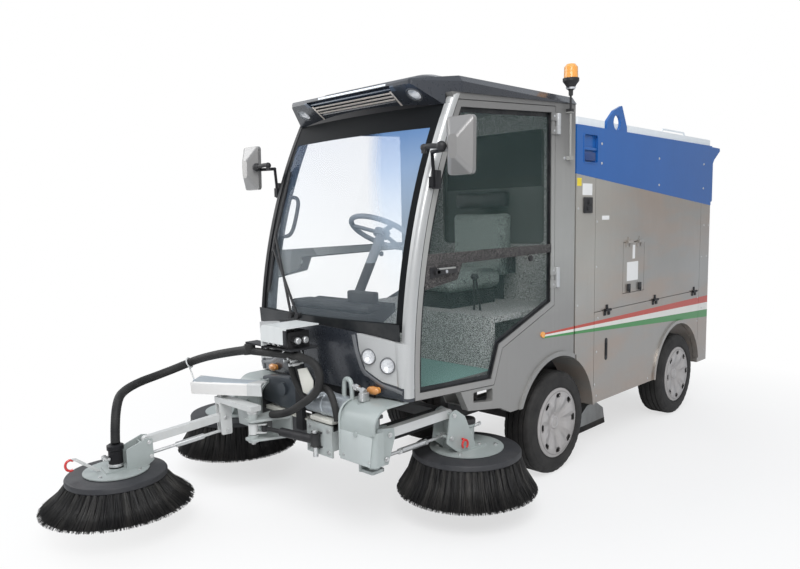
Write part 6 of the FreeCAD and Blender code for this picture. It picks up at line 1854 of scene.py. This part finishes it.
@dataclass
class FrontGear:
    """Details of the front boom, its arm and head, the hood's valves and the beam's fittings."""

    heading: float = -100.1
    reach: float = 0.56

    def build(self) -> None:
        """Make the details."""
        self.head()
        self.boom()
        self.hood()
        self.beam()
        self.guards()
        self.nose()
        self.nose_border()

    def head(self) -> None:
        """Bolts, motor ports and the lifting hook on its stay."""
        place = heading_place("front_spin", self.reach, self.heading)
        metal = Shape().bolt_ring(self.reach, 0.12, 0.312, (40.0, 140.0, 220.0, 320.0), 0.008)
        metal.pins(((0.409, 0.43), (0.401, 0.356)), 0.049, 0.0085)
        metal.turned((self.reach, 0, 0.33), UP, [(0, 0.036), (0.004, 0.037), (0.01, 0.036), (0.014, 0.0345)],
            30)
        curve = arc_points(0.765, 0.372, 0.022, 0.026, range(-120, 121, 20))
        hook = Shape().wire([(x, -0.01, z) for x, z in curve], 0.006)
        stay = Shape().front_plate(-0.012, [(0.63, 0.318), (0.652, 0.318), (0.762, 0.404), (0.74, 0.404)],
            0.01, 0.001)
        ports = Shape()
        for y in (-0.018, 0.018):
            ports.rod((0.592, y, 0.372), (0.622, y, 0.378), 0.009)
            ports.nut((0.604, y, 0.3745), (0.616, y, 0.377), 0.0125)
        for shape, name, finish in ((metal, "front_head_bolts", "bright_steel"),
                (hook, "front_hook", "hook_red"), (stay, "front_hook_stay", "pale_paint"),
                (ports, "front_ports", "bright_steel")):
            shape.finish(name, finish, "front_head", place)

    def boom(self) -> None:
        """Pins of the hanging bracket and the boom's pivot collars."""
        place = Matrix.Translation((-0.52, -1.562, 0)) @ Matrix.Rotation(radians(self.heading), 4, "Z")
        pins = Shape().pins(((0, 0.48), (-0.008, 0.406)), 0.033, 0.009)
        pins.finish("boom_pins", "bright_steel", "front_boom", place)
        collars = Shape()
        for z in (0.398, 0.546):
            collars.turned((-0.235, -1.565, z), UP, [(0, 0.0155), (0, 0.026), (0.003, 0.028), (0.011, 0.028),
                (0.014, 0.026), (0.014, 0.0155)], 30, closed=True)
        collars.nut((-0.235, -1.565, 0.386), (-0.235, -1.565, 0.397), 0.012)
        collars.finish("boom_collars", "pale_paint", "front_boom")

    @staticmethod
    def hood() -> None:
        """Valve spools, fittings and short lines in and below the hood."""
        brass = Shape()
        for x in (-0.045, -0.005, 0.035):
            brass.rod((x, -1.558, 0.938), (x, -1.585, 0.938), 0.01)
            brass.nut((x, -1.566, 0.938), (x, -1.578, 0.938), 0.013)
        for y in (-1.526, -1.482):
            brass.turned((0.107, y, 0.953), (1, 0, 0), [(0, 0.0165), (0.012, 0.016), (0.015, 0.012),
                (0.015, 0)], 24)
        for x, y in ((0.02, -1.54), (0.055, -1.515), (0.08, -1.49)):
            brass.rod((x, y, 0.905), (x, y, 0.872), 0.0085).nut((x, y, 0.892), (x, y, 0.88), 0.0125)
        brass.finish("valve_fittings", "bright_steel")
        coils = Shape()
        for x in (-0.052, -0.008, 0.036):
            coils.block((x - 0.017, -1.55, 0.9905), (x + 0.017, -1.5, 1.0125), 0.004, 3)
        coils.finish("valve_coils", "black_moulded")
        tag = Shape().front_plate(-1.5, [(0.066, 0.806), (0.137, 0.824), (0.184, 0.768), (0.183, 0.736),
            (0.134, 0.694), (0.104, 0.7)], 0.004, 0.001)
        tag.finish("hose_tag", "cream_plate")
        nuts = Shape()
        for x, z in ((0.02, 0.848), (0.048, 0.862), (0.074, 0.852), (0.092, 0.838), (0.06, 0.832)):
            nuts.nut((x, -1.545, z), (x + 0.008, -1.515, z + 0.004), 0.0085)
            nuts.rod((x + 0.008, -1.515, z + 0.004), (x + 0.014, -1.495, z + 0.006), 0.0058)
        nuts.finish("hose_nuts", "bright_steel")

    @staticmethod
    def beam() -> None:
        """Bolts and shelf of the cross beam, the drum and block behind it, and the cylinder's end collar."""
        heads = Shape().bolts([(x, -1.45, z) for x in (0.085, 0.225) for z in (0.415, 0.52)], (0, -1, 0),
            0.0085)
        heads.bolts([(0.35, -1.462, 0.44), (0.52, -1.462, 0.44)], (0, -1, 0), 0.0065)
        heads.rod((0.15, -1.47, 0.385), (0.15, -1.47, 0.434), 0.0125)
        heads.nut((0.15, -1.47, 0.5), (0.15, -1.47, 0.517), 0.015)
        heads.finish("beam_bolts", "bright_steel")
        Shape().turned((0.015, -1.378, 0.628), (1, 0, 0), [(0, 0), (0, 0.05), (0.006, 0.058), (0.12, 0.058),
            (0.124, 0.061), (0.14, 0.061), (0.144, 0.058), (0.3, 0.058), (0.305, 0)], 48).finish(
            "cross_drum", "plated")
        block = Shape().front_plate(-1.398, [(-0.385, 0.69), (-0.27, 0.706), (-0.146, 0.716), (-0.064, 0.65),
            (-0.064, 0.56), (-0.18, 0.545), (-0.385, 0.56)], 0.06, 0.008)
        block.rod((-0.19, -1.415, 0.65), (-0.19, -1.33, 0.65), 0.034).finish("swing_housing", "slate")
        shelf = Shape().block((-0.345, -1.408, 0.5205), (-0.115, -1.33, 0.542), 0.003)
        shelf.block((-0.115, -1.408, 0.5205), (0.055, -1.33, 0.53), 0.003)
        shelf.block((0.07, -1.438, 0.546), (0.235, -1.36, 0.57), 0.006, 3)
        shelf.finish("beam_shelf", "cream_plate")
        Shape().turned((0.15, -1.47, 0.468), UP, [(-0.03, 0.0185), (-0.03, 0.0245), (0.03, 0.0245),
            (0.03, 0.0185)], 28, closed=True).finish("cylinder_eye", "black_moulded")

    @staticmethod
    def guards() -> None:
        """Eye, beads, union and face covers of the brush guards."""
        pipe("guard_eye", [(0.268, -1.38, 0.65), (0.264, -1.38, 0.73), (0.276, -1.38, 0.772),
            (0.312, -1.38, 0.772), (0.324, -1.38, 0.73), (0.322, -1.38, 0.664)], 0.0115, "sage_paint")
        for side, name in zip(SIDES, ("right", "left")):
            bead = [(-1.464, 0.43), (-1.464, 0.56), (-1.464, 0.64), (-1.42, 0.6815), (-1.33, 0.683),
                (-1.24, 0.683)]
            pipe("guard_bead_" + name, [(side * 0.325, y, z) for y, z in bead], 0.006, "sage_paint")
        joint = Shape().rod((0.33, -1.38, 0.745), (0.392, -1.372, 0.728), 0.0105)
        joint.nut((0.345, -1.378, 0.741), (0.362, -1.376, 0.736), 0.0165)
        joint.nut((0.384, -1.373, 0.73), (0.402, -1.371, 0.725), 0.016)
        joint.block((0.38, -1.395, 0.68), (0.412, -1.35, 0.722), 0.006, 3)
        joint.finish("guard_union", "bright_steel")
        cover = Shape().front_plate(-1.4615, [(0.3235, 0.417), (0.524, 0.417), (0.544, 0.556),
            (0.3235, 0.556)], -0.0035, 0.0012)
        cover.mirrored().finish("guard_covers", "guard_cover")

    @staticmethod
    def nose() -> None:
        """Shield below the nose, turn lamps and the cowl under the windscreen."""
        shield = Shape().block((-0.385, -1.296, 0.52), (0.385, -1.286, 0.71), 0.003)
        shield.finish("nose_shield", "black_moulded")
        domes = Shape()
        for side in SIDES:
            place = (Matrix.Translation((side * 0.4, -1.316, 0.721))
                @ Matrix.Rotation(side * radians(9.0), 4, "Z") @ Matrix.Diagonal((0.037, 0.019, 0.0205, 1.0)))
            bmesh.ops.create_uvsphere(domes.mesh, u_segments=28, v_segments=16, radius=1.0, matrix=place)
        domes.finish("turn_domes", "amber_dome")
        sections = []
        for i in range(15):
            x = -0.546 + 1.092 * i / 14
            low_y, high_y = nose_y(x, 0.962) + 0.01, nose_y(x, 1.04) + 0.008
            sections.append([(x, low_y, 0.962), (x, high_y, 1.04), (x, high_y + 0.004, 1.04),
                (x, low_y + 0.004, 0.962)])
        Shape().band(sections, True, True).finish("screen_cowl", "frit")

    @staticmethod
    def nose_border() -> None:
        """Raised border of the nose along the headlamp panel; its lighter paint is a painted highlight along
        the crease.
        """
        corners = [Vector(p) for p in ((0.299, 0.978), (0.31, 0.905), (0.342, 0.808), (0.438, 0.759),
            (0.56, 0.736))]
        fine = [a.lerp(b, i / 8.0) for a, b in zip(corners, corners[1:]) for i in range(8)] + [corners[-1]]
        for _ in range(3):
            fine = [fine[0]] + [(p + q * 2 + r) / 4 for p, q, r in zip(fine, fine[1:], fine[2:])] + [fine[-1]]
        rings = []
        for i, point in enumerate(fine):
            ahead = (fine[min(i + 1, len(fine) - 1)] - fine[max(i - 1, 0)]).normalized()
            away = Vector((ahead.y, -ahead.x))
            wide = 0.03 if i < 18 else 0.024
            section = ((0.003, -0.002), (0.003, 0.0026), (0.008, 0.0034), (wide - 0.006, 0.002),
                (wide, -0.002))
            spots = [(point + away * off, proud) for off, proud in section]
            rings.append([(s.x, nose_y(s.x, s.y) - proud, s.y) for s, proud in spots])
        Shape().band(rings).mirrored().finish("nose_border", "nose_edge")


# ---- hoses
@dataclass
class Sleeve:
    """A free hose in a wrapped sleeve with wrinkles all along it."""

    name: str
    route: tuple
    radius: float
    body: str
    wrinkle: float = 0.06
    pitch: float = 0.011
    sides: int = 22
    seed: int = 3

    def line(self) -> list[Vector]:
        """The hose's centre line, at even small steps."""
        holder = bpy.data.objects.new(self.name + "_line", smooth_curve(self.name + "_line", self.route, 24))
        link(holder)
        raw = [v.co.copy() for v in bpy.data.meshes.new_from_object(holder).vertices]
        bpy.data.objects.remove(holder)
        ways = [0]
        for a, b in zip(raw, raw[1:]):
            ways.append(ways[-1] + (b - a).length)
        count = max(12, int(ways[-1] / (self.pitch / 3.0)))
        even, i = [], 0
        for k in range(count + 1):
            want = ways[-1] * k / count
            while i < len(raw) - 2 and ways[i + 1] < want:
                i += 1
            span = ways[i + 1] - ways[i]
            even.append(raw[i].lerp(raw[i + 1], (want - ways[i]) / span if span > 0.0 else 0.0))
        return even

    def build(self, *stands_for: str) -> None:
        """Make the hose.

        Args:
            stands_for: CAD nodes that it replaces.
        """
        line = self.line()
        dice = random.Random(self.seed)
        side = (line[1] - line[0]).orthogonal().normalized()
        rings = []
        swell = [dice.uniform(-1.0, 1.0) for _ in range(self.sides)]
        for k, spot in enumerate(line):
            ahead = (line[min(k + 1, len(line) - 1)] - line[max(k - 1, 0)]).normalized()
            side = (side - ahead * side.dot(ahead)).normalized()
            other = ahead.cross(side)
            if k % 5 == 0:
                swell = [0.55 * s + 0.45 * dice.uniform(-1.0, 1.0) for s in swell]
            ridge = 0.5 + 0.5 * sin(k * 2 * pi / 3.0 + 1.3 * sin(k * 0.37))
            ring = []
            for j in range(self.sides):
                angle = 2 * pi * j / self.sides
                near = self.radius * (1.0 - self.wrinkle * (0.55 * ridge + 0.45 * (0.5 - 0.5 * swell[j])))
                ring.append(spot + (side * cos(angle) + other * sin(angle)) * near)
            rings.append(ring)
        tube = Shape().band(rings, True, True).mesh
        bmesh.ops.recalc_face_normals(tube, faces=tube.faces)
        data = bpy.data.meshes.new(self.name)
        tube.to_mesh(data)
        tube.free()
        data.shade_smooth()
        piece = put_in_scene(self.name, data, "hose_rubber", self.body)
        if stands_for:
            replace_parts(piece, *stands_for)


@dataclass
class Hoses:
    """The brush hose over the boom and the two looped lines at the hood."""

    brush_route: tuple = ((-0.277, -1.565, 0.868), (-0.64, -1.568, 0.8), (-0.835, -1.69, 0.705),
        (-0.792, -1.96, 0.672), (-0.64, -2.096, 0.634), (-0.618, -2.111, 0.444))
    lines: tuple = (("hood_hose_a", 0.02, ((-0.222, -1.562, 0.87), (-0.06, -1.548, 0.876),
        (0.11, -1.52, 0.882), (0.24, -1.505, 0.85), (0.236, -1.502, 0.73), (0.095, -1.5, 0.64),
        (-0.045, -1.497, 0.562), (-0.165, -1.497, 0.54))), ("hood_hose_b", 0.017,
        ((-0.04, -1.465, 0.884), (-0.046, -1.46, 0.8), (0.01, -1.455, 0.69), (0.082, -1.452, 0.64),
        (0.15, -1.455, 0.715), (0.24, -1.455, 0.735), (0.285, -1.452, 0.655), (0.296, -1.452, 0.585))))

    def build(self) -> None:
        """Make the hoses."""
        Sleeve("brush_hose_sleeve", self.brush_route, 0.023, "front_boom").build("brush_hose")
        for seed, (name, radius, route) in enumerate(self.lines):
            Sleeve(name, route, radius, "chassis", sides=20, seed=seed + 11).build()


def main() -> None:
    """Build the studio and dress every piece."""
    logging.basicConfig(level=logging.INFO, format="%(name)s: %(message)s")
    Studio().build()
    for node, finish in NODE_FINISH.items():
        dress(node, finish)
    log.info("dressed %d solids", len(NODE_FINISH))
    assemblies = [Hoses(), SeatPads(), RoundLamps(), VisorGrille(), CabTrim(), CabInside(), RearAndTop(),
        FrontGear(), SweepBrush("front_brush", "front_spin", 46)]
    for side, heading in (("left", 81.5), ("right", 162.5)):
        assemblies += [DoorTrim(side), SideFittings(side), SideHead(side, heading),
            SweepBrush("side_brush_" + side, "side_spin_" + side, 58), RoadWheel("front", side),
            RoadWheel("rear", side)]
    for assembly in assemblies:
        assembly.build()
        log.info("built %s", type(assembly).__name__)


if __name__ == "__main__":
    main()
